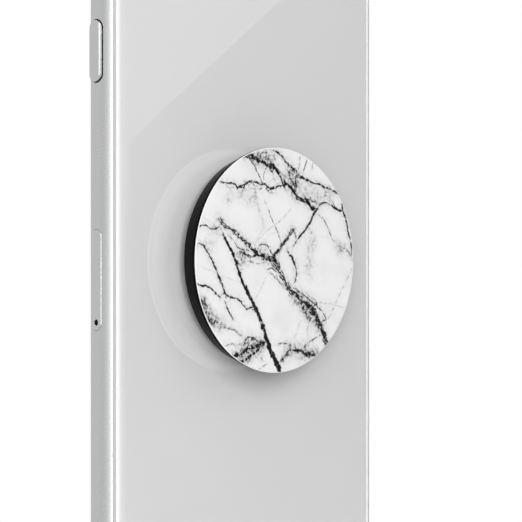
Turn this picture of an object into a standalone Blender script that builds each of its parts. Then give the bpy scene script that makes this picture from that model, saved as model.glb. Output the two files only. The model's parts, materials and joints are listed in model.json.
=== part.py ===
"""A generic 4.7-inch smartphone with glass on both faces and a pop-out grip stuck on its back.

Every length in this file is in millimetres until new_object() turns it into metres.
The phone stands upright: +Z runs from the charge port to the earpiece, -Y looks out of the
screen, +Y out of the back, and +X is the side with the side button and the SIM tray.
The origin is the middle of the charge port's mouth, at the phone's mid-thickness.
"""

from math import asin, cos, pi, sin, sqrt

import bmesh
import bpy
from mathutils import Vector

MM = 0.001

# The phone's envelope
WIDTH = 67.3
LENGTH = 138.4
THICKNESS = 7.3
CORNER_RADIUS = 10.0
EDGE_RADIUS = THICKNESS / 2
MIDDLE_Z = LENGTH / 2
SIDE_X = WIDTH / 2
BACK_Y = THICKNESS / 2
CORNER_STEPS = 7
EDGE_STEPS = 8

# Layers, as distances from the mid-plane
BAND_SEAT = 2.80
GLASS_SEAT = 3.12
GASKET_GAP = 0.035
BAND_WALL = 2.6
PLATE_LOW = 1.90
PLATE_HIGH = 2.40
SHIELD_BACK = -1.50
CAVITY_X = SIDE_X - BAND_WALL

# Side controls
SIDE_BUTTON_Z = 107.6
SIDE_BUTTON_SIZE = (10.35, 2.6)
VOLUME_UP_Z = 105.0
VOLUME_DOWN_Z = 92.4
VOLUME_SIZE = (9.8, 2.5)
BUTTON_FACE_X = SIDE_X + 0.32
BUTTON_GAP = 0.19
BUTTON_FLANGE = 0.55
MUTE_Z = 118.8
MUTE_SLOT = (6.2, 2.9)
MUTE_SLOT_CORNER = 0.6
MUTE_LEVER = (5.8, 1.5)
MUTE_REST_Y = -0.6

# SIM tray
TRAY_Z = 69.2
TRAY_FACE = (17.0, 2.4)
TRAY_GAP = 0.07
TRAY_PLATE = (13.9, 1.2)
TRAY_PLATE_Z = TRAY_Z + 0.8
TRAY_INNER_X = 16.6
PINHOLE_Z = TRAY_Z - TRAY_FACE[0] / 2 + 1.35
PINHOLE_RADIUS = 0.62
CARD_SIZE = (12.3, 8.8, 0.67)

# Rear camera, flash, home key, earpiece
CAMERA_X = 21.9
CAMERA_Z = LENGTH - 10.0
FLASH_X = 11.8
HOME_KEY_Z = 8.9
HOME_KEY_RADIUS = 4.9
EARPIECE_Z = LENGTH - 6.6

# Pop-out grip; heights are measured out from the rear glass
GRIP_Z = 72.5
GRIP_RADIUS = 20.0
GRIP_STEPS = 48
SKIRT_RADIUS = 18.9
SKIRT_HEIGHT = 2.05
LIP_HEIGHT = 5.6
FACE_HEIGHT = 6.15
ROOF_HEIGHT = 4.6


def clear_scene():
    for existing in list(bpy.data.objects):
        bpy.data.objects.remove(existing)


def make_material(name, colour, roughness, metallic=0.0, transmission=0.0):
    material = bpy.data.materials.new(name)
    material.use_nodes = True
    shader = material.node_tree.nodes["Principled BSDF"]
    shader.inputs["Base Color"].default_value = (*colour, 1.0)
    shader.inputs["Roughness"].default_value = roughness
    shader.inputs["Metallic"].default_value = metallic
    shader.inputs["Transmission Weight"].default_value = transmission
    return material


# Outlines: lists of 2-D points, counter-clockwise


def rounded_rectangle(width, height, radius, steps=4):
    points = []
    for quarter, (side_a, side_b) in enumerate(((1, 1), (-1, 1), (-1, -1), (1, -1))):
        centre_a = side_a * (width / 2 - radius)
        centre_b = side_b * (height / 2 - radius)
        for step in range(steps + 1):
            angle = (quarter + step / steps) * pi / 2
            points.append((centre_a + radius * cos(angle), centre_b + radius * sin(angle)))
    return points


def stadium(width, height, steps=6):
    """A slot outline with two half-round ends, taller than wide or wider than tall."""
    radius = min(width, height) / 2
    reach = max(width, height) / 2 - radius
    points = []
    for end, start in ((1, 0.0), (-1, pi)):
        for step in range(2 * steps + 1):
            angle = start + pi * step / (2 * steps)
            across, along = radius * cos(angle), radius * sin(angle) + end * reach
            points.append((across, along) if height >= width else (along, -across))
    return points


def circle(radius, steps=16):
    return [(radius * cos(2 * pi * n / steps), radius * sin(2 * pi * n / steps)) for n in range(steps)]


def rectangle(width, height):
    return [(width / 2, height / 2), (-width / 2, height / 2), (-width / 2, -height / 2), (width / 2, -height / 2)]


def edge_inset(height):
    """How far the round edge draws in at this height from the mid-plane."""
    return EDGE_RADIUS - sqrt(max(EDGE_RADIUS**2 - height**2, 0.0))


def phone_outline(inset):
    return rounded_rectangle(WIDTH - 2 * inset, LENGTH - 2 * inset, CORNER_RADIUS - inset, CORNER_STEPS)


# Solids: each of these returns a bmesh


def in_space(point, axis, along):
    first, second = point
    return {"X": (along, first, second), "Y": (first, along, second), "Z": (first, second, along)}[axis]


def prism(points, axis, low, high):
    """The outline extruded along one axis, from low to high."""
    mesh = bmesh.new()
    base = mesh.faces.new([mesh.verts.new(in_space(point, axis, low)) for point in points])
    raised = bmesh.ops.extrude_face_region(mesh, geom=[base])["geom"]
    moved = [item for item in raised if isinstance(item, bmesh.types.BMVert)]
    bmesh.ops.translate(mesh, verts=moved, vec=Vector(in_space((0, 0), axis, high - low)))
    bmesh.ops.recalc_face_normals(mesh, faces=mesh.faces)
    return mesh


def turned(profile, axis="Y", steps=GRIP_STEPS):
    """The closed (radius, height) profile turned about the axis."""
    mesh = bmesh.new()
    spin_axis = Vector(in_space((0, 0), axis, 1))
    side = Vector(in_space((1, 0), axis, 0))
    corners = [mesh.verts.new(side * radius + spin_axis * height) for radius, height in profile]
    edges = [mesh.edges.new((corners[n], corners[(n + 1) % len(corners)])) for n in range(len(corners))]
    bmesh.ops.spin(mesh, geom=corners + edges, cent=(0, 0, 0), axis=spin_axis, angle=2 * pi, steps=steps)
    bmesh.ops.remove_doubles(mesh, verts=mesh.verts, dist=0.0005)
    flat = [face for face in mesh.faces if face.calc_area() < 1e-7]
    bmesh.ops.delete(mesh, geom=flat, context="FACES")
    loose = [edge for edge in mesh.edges if not edge.link_faces]
    bmesh.ops.delete(mesh, geom=loose, context="EDGES")
    bmesh.ops.recalc_face_normals(mesh, faces=mesh.faces)
    return mesh


def skinned(rings, joined_ends):
    """A skin over rings of equal length; joined_ends makes a tube ring, otherwise both ends are capped."""
    mesh = bmesh.new()
    rows = [[mesh.verts.new(point) for point in ring] for ring in rings]
    count = len(rows[0])
    pairs = list(zip(rows, rows[1:]))
    if joined_ends:
        pairs.append((rows[-1], rows[0]))
    for lower, upper in pairs:
        for n in range(count):
            after = (n + 1) % count
            mesh.faces.new((lower[n], lower[after], upper[after], upper[n]))
    if not joined_ends:
        mesh.faces.new(rows[0])
        mesh.faces.new(rows[-1])
    bmesh.ops.recalc_face_normals(mesh, faces=mesh.faces)
    return mesh


def phone_skin(profile, joined_ends=False):
    """The (inset, y) profile carried round the phone's outline."""
    rings = [[(x, height, z) for x, z in phone_outline(inset)] for inset, height in profile]
    return skinned(rings, joined_ends)


def block(x_range, y_range, z_range):
    """A plain box; it is placed where its ranges say, so its object stays at the origin."""
    mesh = bmesh.new()
    bmesh.ops.create_cube(mesh, size=1.0)
    low, high = (Vector(corner) for corner in zip(x_range, y_range, z_range))
    bmesh.ops.scale(mesh, vec=high - low, verts=mesh.verts)
    bmesh.ops.translate(mesh, vec=(low + high) / 2, verts=mesh.verts)
    return mesh


def moved(mesh, x=0.0, y=0.0, z=0.0):
    bmesh.ops.translate(mesh, vec=Vector((x, y, z)), verts=mesh.verts)
    return mesh


def gathered(meshes):
    """Several bodies in one mesh, for a cutter."""
    whole = bmesh.new()
    for mesh in meshes:
        carrier = bpy.data.meshes.new("carrier")
        mesh.to_mesh(carrier)
        whole.from_mesh(carrier)
        bpy.data.meshes.remove(carrier)
        mesh.free()
    return whole


# Objects


def new_object(name, mesh, material=None, origin=(0, 0, 0), parent=None):
    """Makes the object, with its own origin at origin, and converts it to metres."""
    bmesh.ops.translate(mesh, vec=-Vector(origin), verts=mesh.verts)
    bmesh.ops.scale(mesh, vec=(MM, MM, MM), verts=mesh.verts)
    data = bpy.data.meshes.new(name)
    mesh.to_mesh(data)
    mesh.free()
    data.shade_smooth()
    data.set_sharp_from_angle(angle=0.6)
    thing = bpy.data.objects.new(name, data)
    bpy.context.scene.collection.objects.link(thing)
    if material:
        data.materials.append(material)
    thing.location = Vector(origin) * MM
    if parent:
        thing.parent = parent
        thing.location = Vector(origin) * MM - parent.location
    return thing


def helper(name, mesh):
    """A shape that only cuts or joins others."""
    thing = new_object(name, mesh)
    thing.hide_render = True
    thing.display_type = "WIRE"
    return thing


def combine(target, operation, other):
    modifier = target.modifiers.new(f"{operation.lower()} {other.name}", "BOOLEAN")
    modifier.operation = operation
    modifier.object = other
    modifier.solver = "EXACT"


def cut(target, name, meshes):
    combine(target, "DIFFERENCE", helper(name, gathered(meshes)))


def join(target, name, mesh):
    combine(target, "UNION", helper(name, mesh))


def soften(target, width, segments=1):
    bevel = target.modifiers.new("edges", "BEVEL")
    bevel.width = width * MM
    bevel.segments = segments
    bevel.limit_method = "ANGLE"
    bevel.angle_limit = 0.8


def axis_empty(name, location):
    empty = bpy.data.objects.new(name, None)
    empty.empty_display_size = 0.005
    empty.location = Vector(location) * MM
    bpy.context.scene.collection.objects.link(empty)
    return empty


# The phone's case


def edge_arc(low, high, steps, drawn_in=0.0):
    """(inset, y) points on the round edge between two heights."""
    start, end = asin(low / EDGE_RADIUS), asin(high / EDGE_RADIUS)
    points = []
    for step in range(steps + 1):
        angle = start + (end - start) * step / steps
        points.append((EDGE_RADIUS * (1 - cos(angle)) + drawn_in, EDGE_RADIUS * sin(angle)))
    return points


def antenna_groove_boxes(gap):
    """The four grooves across the band, two on each side, just clear of the corners."""
    boxes = []
    reach = BAND_SEAT - 0.04 + gap * 9
    for side in (1, -1):
        for height in (10.9, LENGTH - 10.9):
            inner, outer = side * (SIDE_X - 1.3 - gap), side * (SIDE_X + 2)
            half = 0.55 + gap
            x_range = (min(inner, outer), max(inner, outer))
            boxes.append(block(x_range, (-reach, reach), (height - half, height + half)))
    return boxes


def grille_hole_places():
    return [side * (10.6 + 1.9 * n) for side in (1, -1) for n in range(6)]


def side_hole(size, gap, z, side):
    outline = stadium(size[1] + 2 * gap, size[0] + 2 * gap)
    ends = sorted((side * (CAVITY_X - 1), side * (SIDE_X + 2)))
    return moved(prism(outline, "X", *ends), z=z)


def add_mid_frame(material, envelope, insert_material, parent):
    profile = edge_arc(-BAND_SEAT, BAND_SEAT, EDGE_STEPS)
    profile += [(BAND_WALL, BAND_SEAT), (BAND_WALL, -BAND_SEAT)]
    frame = new_object("mid_frame", moved(phone_skin(profile, joined_ends=True), z=MIDDLE_Z), material, parent=parent)
    plate_outline = phone_outline(BAND_WALL - 0.3)
    join(frame, "rear_plate", moved(prism(plate_outline, "Y", PLATE_LOW, PLATE_HIGH), z=MIDDLE_Z))
    mute_slot = rounded_rectangle(MUTE_SLOT[1], MUTE_SLOT[0], MUTE_SLOT_CORNER, 3)
    openings = [
        side_hole(SIDE_BUTTON_SIZE, BUTTON_GAP, SIDE_BUTTON_Z, 1),
        side_hole(TRAY_FACE, TRAY_GAP, TRAY_Z, 1),
        side_hole(VOLUME_SIZE, BUTTON_GAP, VOLUME_UP_Z, -1),
        side_hole(VOLUME_SIZE, BUTTON_GAP, VOLUME_DOWN_Z, -1),
        moved(prism(mute_slot, "X", -SIDE_X - 2, -CAVITY_X + 1), z=MUTE_Z),
        prism(stadium(9.3, 3.5), "Z", -1, BAND_WALL + 1),
        moved(prism(circle(23.5, 32), "Y", 1, 3), z=MIDDLE_Z),
        moved(prism(circle(3.9, 20), "Y", 1, 3), x=CAMERA_X, z=CAMERA_Z),
        moved(prism(circle(2.1, 12), "Y", 1, 3), x=FLASH_X, z=CAMERA_Z),
    ]
    for x in (7.4, -7.4):
        openings.append(moved(prism(circle(1.0, 12), "Z", -1, BAND_WALL + 1), x=x))
    for x in grille_hole_places():
        openings.append(moved(prism(circle(0.65, 10), "Z", -1, BAND_WALL + 1), x=x))
    cut(frame, "frame_openings", openings)
    cut(frame, "antenna_grooves", antenna_groove_boxes(0.06))
    names = ("right_bottom", "right_top", "left_bottom", "left_top")
    for name, shape in zip(names, antenna_groove_boxes(0.0)):
        insert = new_object(f"antenna_insert_{name}", shape, insert_material, parent=parent)
        combine(insert, "INTERSECT", envelope)


def add_glass(name, side, material, parent):
    """A flat pane whose edge curves down to the band; side is +1 for the back and -1 for the front."""
    profile = [(inset, side * height) for inset, height in edge_arc(GLASS_SEAT, EDGE_RADIUS, 6)]
    return new_object(name, moved(phone_skin(profile), z=MIDDLE_Z), material, parent=parent)


def add_gasket(name, side, material, parent):
    low, high = BAND_SEAT + GASKET_GAP, GLASS_SEAT - GASKET_GAP
    profile = [(edge_inset(low) + 0.04, side * low), (edge_inset(high) + 0.04, side * high)]
    profile += [(BAND_WALL - 0.05, side * high), (BAND_WALL - 0.05, side * low)]
    return new_object(name, moved(phone_skin(profile, joined_ends=True), z=MIDDLE_Z), material, parent=parent)


def add_case(materials, parent):
    envelope = helper("envelope", moved(phone_skin(edge_arc(-EDGE_RADIUS, EDGE_RADIUS, 16)), z=MIDDLE_Z))
    add_mid_frame(materials["band"], envelope, materials["insert"], parent)
    add_gasket("rear_gasket", 1, materials["gasket"], parent)
    add_gasket("front_gasket", -1, materials["gasket"], parent)
    rear = add_glass("rear_glass", 1, materials["rear_glass"], parent)
    cut(
        rear,
        "rear_glass_holes",
        [
            moved(prism(circle(5.3, 32), "Y", 2, 5), x=CAMERA_X, z=CAMERA_Z),
            moved(prism(circle(2.05, 16), "Y", 2, 5), x=FLASH_X, z=CAMERA_Z),
        ],
    )
    front = add_glass("front_glass", -1, materials["front_glass"], parent)
    cut(
        front,
        "front_glass_holes",
        [
            moved(prism(circle(HOME_KEY_RADIUS + 0.7, 32), "Y", -5, -2), z=HOME_KEY_Z),
            moved(prism(stadium(10.6, 1.6), "Y", -5, -2), z=EARPIECE_Z),
        ],
    )
    return envelope


# Behind the screen


def add_display(materials, parent):
    panel_shape = block((-29.8, 29.8), (-GLASS_SEAT + 0.06, -1.85), (16.0, 122.4))
    panel = new_object("display_panel", panel_shape, materials["panel"], parent=parent)
    soften(panel, 0.3)
    outline = rounded_rectangle(59.6, 109.6, 2.0, 3)
    new_object(
        "display_shield_plate",
        moved(prism(outline, "Y", -1.8, SHIELD_BACK), z=MIDDLE_Z),
        materials["steel"],
        parent=parent,
    )
    key_front = -3.5
    key = new_object(
        "home_key",
        moved(prism(circle(HOME_KEY_RADIUS, 32), "Y", key_front, -2.6), z=HOME_KEY_Z),
        materials["key"],
        origin=(0, key_front, HOME_KEY_Z),
        parent=parent,
    )
    soften(key, 0.08)
    ring = [(HOME_KEY_RADIUS + 0.06, -3.6), (HOME_KEY_RADIUS + 0.62, -3.6)]
    ring += [(HOME_KEY_RADIUS + 0.62, -2.65), (HOME_KEY_RADIUS + 0.06, -2.65)]
    new_object(
        "home_key_ring", moved(turned(ring, steps=32), z=HOME_KEY_Z), materials["steel"], (0, -3.6, HOME_KEY_Z), parent
    )
    new_object(
        "home_key_bracket", block((-8.0, 8.0), (-2.5, -2.2), (3.6, 14.0)), materials["steel"], parent=parent
    )
    new_object(
        "earpiece_mesh",
        moved(prism(stadium(10.4, 1.4), "Y", -3.45, -2.95), z=EARPIECE_Z),
        materials["dark_metal"],
        parent=parent,
    )
    speaker = new_object(
        "earpiece_speaker",
        block((-6.8, 6.8), (-2.75, 0.6), (EARPIECE_Z - 2.9, EARPIECE_Z + 2.9)),
        materials["black"],
        parent=parent,
    )
    soften(speaker, 0.4)
    camera = new_object(
        "front_camera",
        block((-13.6, -7.6), (-2.2, 0.6), (EARPIECE_Z - 3.2, EARPIECE_Z + 2.8)),
        materials["black"],
        parent=parent,
    )
    join(camera, "front_lens_barrel", moved(prism(circle(1.6, 16), "Y", -2.75, -2.0), x=-10.6, z=EARPIECE_Z))


# Between the plate and the screen


def add_can(name, x_range, z_range, material, parent):
    """A pressed shield, open towards the board."""
    can = new_object(name, block(x_range, (-1.25, 0.95), z_range), material, parent=parent)
    wall = 0.3
    inner = block(
        (x_range[0] + wall, x_range[1] - wall), (-1.25 + wall, 2.0), (z_range[0] + wall, z_range[1] - wall)
    )
    cut(can, f"{name}_inside", [inner])


def add_screw(name, x, material, parent):
    """A case screw: a disc head with a cross slot, and a shank, turned about Z."""
    profile = [(0, 0.45), (0.85, 0.45), (0.85, 1.15), (0.5, 1.25), (0.5, 4.2), (0, 4.2)]
    screw = new_object(name, moved(turned(profile, "Z", 12), x=x), material, origin=(x, 0, 0.45), parent=parent)
    slots = [moved(block((-0.55, 0.55), (-0.11, 0.11), (0.2, 0.75)), x=x)]
    cut(screw, f"{name}_slot", slots)


def add_internals(materials, parent):
    battery = new_object(
        "battery",
        moved(prism(rounded_rectangle(35.2, 90.5, 1.6, 3), "Y", -1.35, 1.45), x=-10.4, z=76.2),
        materials["battery"],
        parent=parent,
    )
    soften(battery, 0.35)
    new_object(
        "battery_adhesive", block((-20.0, -0.8), (1.52, 1.75), (36.0, 116.0)), materials["adhesive"], parent=parent
    )
    board = new_object(
        "main_board",
        moved(prism(rounded_rectangle(20.0, 88.0, 1.2, 2), "Y", 1.05, 1.75), x=18.4, z=75.6),
        materials["board"],
        parent=parent,
    )
    cut(board, "board_notch", [block((5, 12.5), (0, 3), (114.0, 121.0))])
    add_can("board_shield_upper", (10.4, 27.2), (82.0, 112.5), materials["steel"], parent)
    add_can("board_shield_lower", (10.4, 27.2), (34.0, 58.0), materials["steel"], parent)
    speaker = new_object(
        "loudspeaker", block((9.6, 27.9), (-1.3, 1.7), (5.6, 29.6)), materials["black"], parent=parent
    )
    soften(speaker, 0.8)
    motor = new_object(
        "haptic_motor", block((-27.8, -9.6), (-1.3, 1.6), (13.0, 25.0)), materials["steel"], parent=parent
    )
    soften(motor, 0.5)
    flex_outline = [(-6.0, 9.2), (8.4, 9.2), (8.4, 24.0), (2.0, 24.0), (2.0, 29.5), (-6.0, 29.5)]
    new_object("charge_port_flex", prism(flex_outline, "Y", 1.3, 1.5), materials["flex"], parent=parent)
    new_object(
        "display_flex", block((-5.0, 8.0), (0.9, 1.1), (122.6, 127.4)), materials["flex"], parent=parent
    )
    coil = [(10.5, 2.28), (22.0, 2.28), (22.0, 2.72), (10.5, 2.72)]
    new_object("charging_coil", moved(turned(coil, steps=32), z=MIDDLE_Z), materials["copper"], parent=parent)
    new_object(
        "coil_ferrite", moved(prism(circle(23.0, 32), "Y", 1.95, 2.2), z=MIDDLE_Z), materials["black"], parent=parent
    )


def add_rear_camera(materials, parent):
    half = 4.5
    module = new_object(
        "rear_camera",
        block((CAMERA_X - half, CAMERA_X + half), (-1.4, 1.7), (CAMERA_Z - half, CAMERA_Z + half)),
        materials["black"],
        parent=parent,
    )
    join(module, "camera_barrel", moved(prism(circle(3.5, 20), "Y", 1.2, 3.85), x=CAMERA_X, z=CAMERA_Z))
    ring = [(3.95, 2.9), (5.1, 2.9), (5.1, 4.3), (4.85, 4.55), (4.2, 4.55), (3.95, 4.35)]
    place = (CAMERA_X, 0, CAMERA_Z)
    new_object(
        "camera_trim_ring", moved(turned(ring, steps=32), CAMERA_X, 0, CAMERA_Z), materials["band"], place, parent
    )
    new_object(
        "camera_lens_cover",
        moved(prism(circle(3.88, 32), "Y", 3.95, 4.3), CAMERA_X, 0, CAMERA_Z),
        materials["lens"],
        place,
        parent,
    )
    flash = new_object(
        "flash_lens",
        moved(prism(circle(1.95, 16), "Y", 2.0, 3.6), FLASH_X, 0, CAMERA_Z),
        materials["flash"],
        (FLASH_X, 0, CAMERA_Z),
        parent,
    )
    soften(flash, 0.1)


def add_charge_port(materials, parent):
    shell = new_object("charge_port", prism(stadium(9.1, 3.3), "Z", 0.35, 8.6), materials["steel"], parent=parent)
    cut(shell, "charge_port_mouth", [prism(stadium(8.4, 2.6), "Z", -1, 7.8)])
    new_object("charge_port_tongue", block((-3.3, 3.3), (-0.35, 0.35), (1.6, 7.7)), materials["black"], parent=parent)
    add_screw("bottom_screw_right", 7.4, materials["steel"], parent)
    add_screw("bottom_screw_left", -7.4, materials["steel"], parent)


# Moving side controls


def add_button(name, size, side, z, materials):
    """A cap through the band with a flange behind it, the dome switch it presses, on its own slide axis."""
    axis = axis_empty(f"{name}_axis", (side * SIDE_X, 0, z))
    ends = sorted((side * (CAVITY_X - 0.4), side * BUTTON_FACE_X))
    cap = prism(stadium(size[1], size[0], 8), "X", *ends)
    bmesh.ops.bevel(
        cap,
        geom=[edge for edge in cap.edges if all(abs(v.co.x - side * BUTTON_FACE_X) < 1e-4 for v in edge.verts)],
        offset=0.28,
        segments=2,
        affect="EDGES",
    )
    button = new_object(f"{name}_button", moved(cap, z=z), materials["band"], (side * SIDE_X, 0, z), axis)
    flange = stadium(size[1] + 2 * BUTTON_FLANGE, size[0] + 2 * BUTTON_FLANGE, 4)
    ends = sorted((side * (CAVITY_X - 0.75), side * (CAVITY_X - 0.12)))
    join(button, f"{name}_flange", moved(prism(flange, "X", *ends), z=z))
    ends = sorted((side * (CAVITY_X - 1.75), side * (CAVITY_X - 1.15)))
    dome = moved(prism(circle(1.2, 12), "X", *ends), z=z)
    new_object(f"{name}_dome_switch", dome, materials["steel"])


def add_brackets(materials, parent):
    far = CAVITY_X - 1.82
    near = CAVITY_X - 2.12
    new_object(
        "side_button_bracket",
        block((near, far), (-1.2, 0.95), (SIDE_BUTTON_Z - 6.5, SIDE_BUTTON_Z + 6.5)),
        materials["steel"],
        parent=parent,
    )
    new_object(
        "volume_bracket",
        block((-far, -near), (-1.2, 1.2), (VOLUME_DOWN_Z - 6.0, VOLUME_UP_Z + 6.0)),
        materials["steel"],
        parent=parent,
    )


def add_mute_switch(materials, parent):
    axis = axis_empty("mute_switch_axis", (-SIDE_X, MUTE_REST_Y, MUTE_Z))
    lever = moved(
        prism(stadium(MUTE_LEVER[1], MUTE_LEVER[0]), "X", -SIDE_X + 0.1, -CAVITY_X + 0.5), y=MUTE_REST_Y, z=MUTE_Z
    )
    switch = new_object("mute_switch", lever, materials["band"], (-SIDE_X, MUTE_REST_Y, MUTE_Z), axis)
    slider = block((-CAVITY_X + 0.12, -CAVITY_X + 0.8), (-1.35, 0.6), (MUTE_Z - 3.4, MUTE_Z + 3.4))
    join(switch, "mute_slider", slider)
    new_object(
        "mute_switch_module",
        block((-CAVITY_X + 0.95, -CAVITY_X + 2.6), (-1.3, 1.8), (MUTE_Z - 4.2, MUTE_Z + 4.2)),
        materials["black"],
        parent=parent,
    )


def add_sim(materials, envelope, parent):
    axis = axis_empty("sim_tray_axis", (SIDE_X, 0, TRAY_Z))
    origin = (SIDE_X, 0, TRAY_Z)
    head = moved(prism(stadium(TRAY_FACE[1], TRAY_FACE[0], 8), "X", CAVITY_X + 0.3, SIDE_X + 2), z=TRAY_Z)
    tray = new_object("sim_tray", head, materials["band"], origin, axis)
    combine(tray, "INTERSECT", envelope)
    half_width, half_height = TRAY_PLATE[0] / 2, TRAY_PLATE[1] / 2
    join(
        tray,
        "sim_tray_plate",
        block(
            (TRAY_INNER_X, CAVITY_X + 0.6),
            (-half_height, half_height),
            (TRAY_PLATE_Z - half_width, TRAY_PLATE_Z + half_width),
        ),
    )
    card_x, card_z = 23.0, TRAY_PLATE_Z
    pocket_gap = 0.12
    pocket_depth = CARD_SIZE[2] + 0.08
    pocket_x = CARD_SIZE[1] / 2 + pocket_gap
    pocket_z = CARD_SIZE[0] / 2 + pocket_gap
    ledge = 0.9
    cut(
        tray,
        "sim_tray_pocket",
        [
            block(
                (card_x - pocket_x, card_x + pocket_x),
                (half_height - pocket_depth, 2.0),
                (card_z - pocket_z, card_z + pocket_z),
            )
        ],
    )
    cut(
        tray,
        "sim_tray_window",
        [
            block(
                (card_x - pocket_x + ledge, card_x + pocket_x - ledge),
                (-2.0, 1.0),
                (card_z - pocket_z + ledge, card_z + pocket_z - ledge),
            )
        ],
    )
    pinhole = moved(prism(circle(PINHOLE_RADIUS, 16), "X", CAVITY_X - 0.5, SIDE_X + 3), z=PINHOLE_Z)
    cut(tray, "sim_pinhole", [pinhole])
    card_outline = [(4.4, 6.15), (-4.4, 6.15), (-4.4, -6.15), (2.75, -6.15), (4.4, -4.5)]
    card_high = half_height - 0.02
    new_object(
        "sim_card",
        moved(prism(card_outline, "Y", card_high - CARD_SIZE[2], card_high), x=card_x, z=card_z),
        materials["card"],
        origin,
        axis,
    )
    reader = new_object(
        "sim_reader",
        block((15.6, 28.3), (-0.98, 0.98), (TRAY_PLATE_Z - 7.35, TRAY_PLATE_Z + 7.35)),
        materials["steel"],
        parent=parent,
    )
    slot = block((15.9, 30), (-0.74, 0.74), (TRAY_PLATE_Z - 7.1, TRAY_PLATE_Z + 7.1))
    cut(reader, "sim_reader_slot", [slot])
    rod_origin = (CAVITY_X, 0, PINHOLE_Z)
    rod_axis = axis_empty("sim_eject_axis", rod_origin)
    rod = moved(prism(circle(0.35, 10), "X", 18.0, CAVITY_X - 0.5), z=PINHOLE_Z)
    new_object("sim_eject_rod", rod, materials["steel"], rod_origin, rod_axis)


# The pop-out grip


def grip_ring(name, profile, material, parent, steps=GRIP_STEPS):
    """A turned piece of the grip; profile heights count from the rear glass."""
    raised = [(radius, height + BACK_Y) for radius, height in profile]
    origin = (0, BACK_Y, GRIP_Z)
    return new_object(name, moved(turned(raised, steps=steps), z=GRIP_Z), material, origin, parent)


def add_grip(materials, parent):
    axis = axis_empty("grip_axis", (0, BACK_Y, GRIP_Z))
    pad = [(0, 0.05), (16.2, 0.05), (16.2, 0.75), (0, 0.75)]
    grip_ring("grip_adhesive_pad", pad, materials["adhesive"], parent)
    base = [(0, 0.8), (16.5, 0.8), (17.8, 1.55), (17.8, 1.85), (0, 1.85)]
    grip_ring("grip_base", base, materials["grip"], parent)
    wall = [(16.9, 1.95), (16.9, 2.25), (11.75, 2.7), (11.75, 2.4)]
    grip_ring("bellows_wall_lower", wall, materials["bellows"], parent, 32)
    ring = [(10.4, 2.3), (11.65, 2.3), (11.65, 2.85), (10.4, 2.85)]
    grip_ring("bellows_ring_lower", ring, materials["bellows"], axis, 32)
    wall = [(11.75, 2.85), (15.85, 3.25), (15.85, 3.5), (11.75, 3.1)]
    grip_ring("bellows_wall_middle", wall, materials["bellows"], axis, 32)
    ring = [(15.95, 3.1), (17.1, 3.1), (17.1, 3.65), (15.95, 3.65)]
    grip_ring("bellows_ring_upper", ring, materials["bellows"], axis, 32)
    wall = [(15.85, 3.65), (15.85, 3.9), (11.15, 4.45), (11.15, 4.2)]
    grip_ring("bellows_wall_upper", wall, materials["bellows"], axis, 32)
    neck = [(9.4, 4.1), (11.0, 4.1), (11.0, ROOF_HEIGHT)]
    skirt_inside = [(18.2, ROOF_HEIGHT), (17.5, SKIRT_HEIGHT)]
    skirt_outside = [(SKIRT_RADIUS, SKIRT_HEIGHT), (19.7, 5.2), (19.92, 5.3), (19.92, LIP_HEIGHT)]
    cap = [(0, ROOF_HEIGHT), (9.4, ROOF_HEIGHT)] + neck + skirt_inside + skirt_outside + [(0, LIP_HEIGHT)]
    grip_ring("grip_cap", cap, materials["grip"], axis)
    insert_low = LIP_HEIGHT + 0.05
    bevel = 0.22
    insert = [(0, insert_low), (GRIP_RADIUS, insert_low), (GRIP_RADIUS, FACE_HEIGHT - bevel)]
    insert += [(GRIP_RADIUS - bevel, FACE_HEIGHT), (0, FACE_HEIGHT)]
    grip_ring("grip_insert", insert, materials["marble"], axis)


def all_materials():
    looks = {
        "band": ((0.62, 0.63, 0.64), 0.3, 1.0),
        "insert": ((0.55, 0.56, 0.57), 0.4),
        "gasket": ((0.45, 0.46, 0.46), 0.5),
        "rear_glass": ((0.75, 0.75, 0.74), 0.08),
        "front_glass": ((0.85, 0.85, 0.84), 0.05),
        "panel": ((0.01, 0.01, 0.012), 0.2),
        "steel": ((0.55, 0.55, 0.56), 0.35, 1.0),
        "dark_metal": ((0.08, 0.08, 0.085), 0.5, 1.0),
        "key": ((0.82, 0.82, 0.81), 0.1),
        "black": ((0.02, 0.02, 0.02), 0.5),
        "battery": ((0.03, 0.03, 0.035), 0.45),
        "adhesive": ((0.06, 0.06, 0.065), 0.6),
        "board": ((0.02, 0.06, 0.1), 0.5),
        "flex": ((0.25, 0.12, 0.03), 0.45),
        "copper": ((0.72, 0.36, 0.2), 0.3, 1.0),
        "lens": ((0.015, 0.017, 0.025), 0.04),
        "flash": ((0.9, 0.82, 0.55), 0.2),
        "card": ((0.8, 0.8, 0.78), 0.4),
        "grip": ((0.012, 0.012, 0.013), 0.3),
        "bellows": ((0.015, 0.015, 0.016), 0.55),
        "marble": ((0.85, 0.85, 0.85), 0.2),
    }
    return {name: make_material(name, *values) for name, values in looks.items()}


def build():
    clear_scene()
    materials = all_materials()
    phone = axis_empty("phone_origin", (0, 0, 0))
    envelope = add_case(materials, phone)
    add_display(materials, phone)
    add_internals(materials, phone)
    add_rear_camera(materials, phone)
    add_charge_port(materials, phone)
    add_button("side", SIDE_BUTTON_SIZE, 1, SIDE_BUTTON_Z, materials)
    add_button("volume_up", VOLUME_SIZE, -1, VOLUME_UP_Z, materials)
    add_button("volume_down", VOLUME_SIZE, -1, VOLUME_DOWN_Z, materials)
    add_brackets(materials, phone)
    add_mute_switch(materials, phone)
    add_sim(materials, envelope, phone)
    add_grip(materials, phone)


build()
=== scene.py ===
"""The looks of the glass-backed phone with a marble-print pop-out grip on its back.

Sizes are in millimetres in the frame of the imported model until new_mesh() turns them into metres:
+Z up the phone, +Y out of the back, -Y out of the screen, +X the side with the card tray.
"""

import json
from math import asin, cos, pi, radians, sin, sqrt

import bmesh
import bpy
import numpy as np
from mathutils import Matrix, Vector, noise


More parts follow.
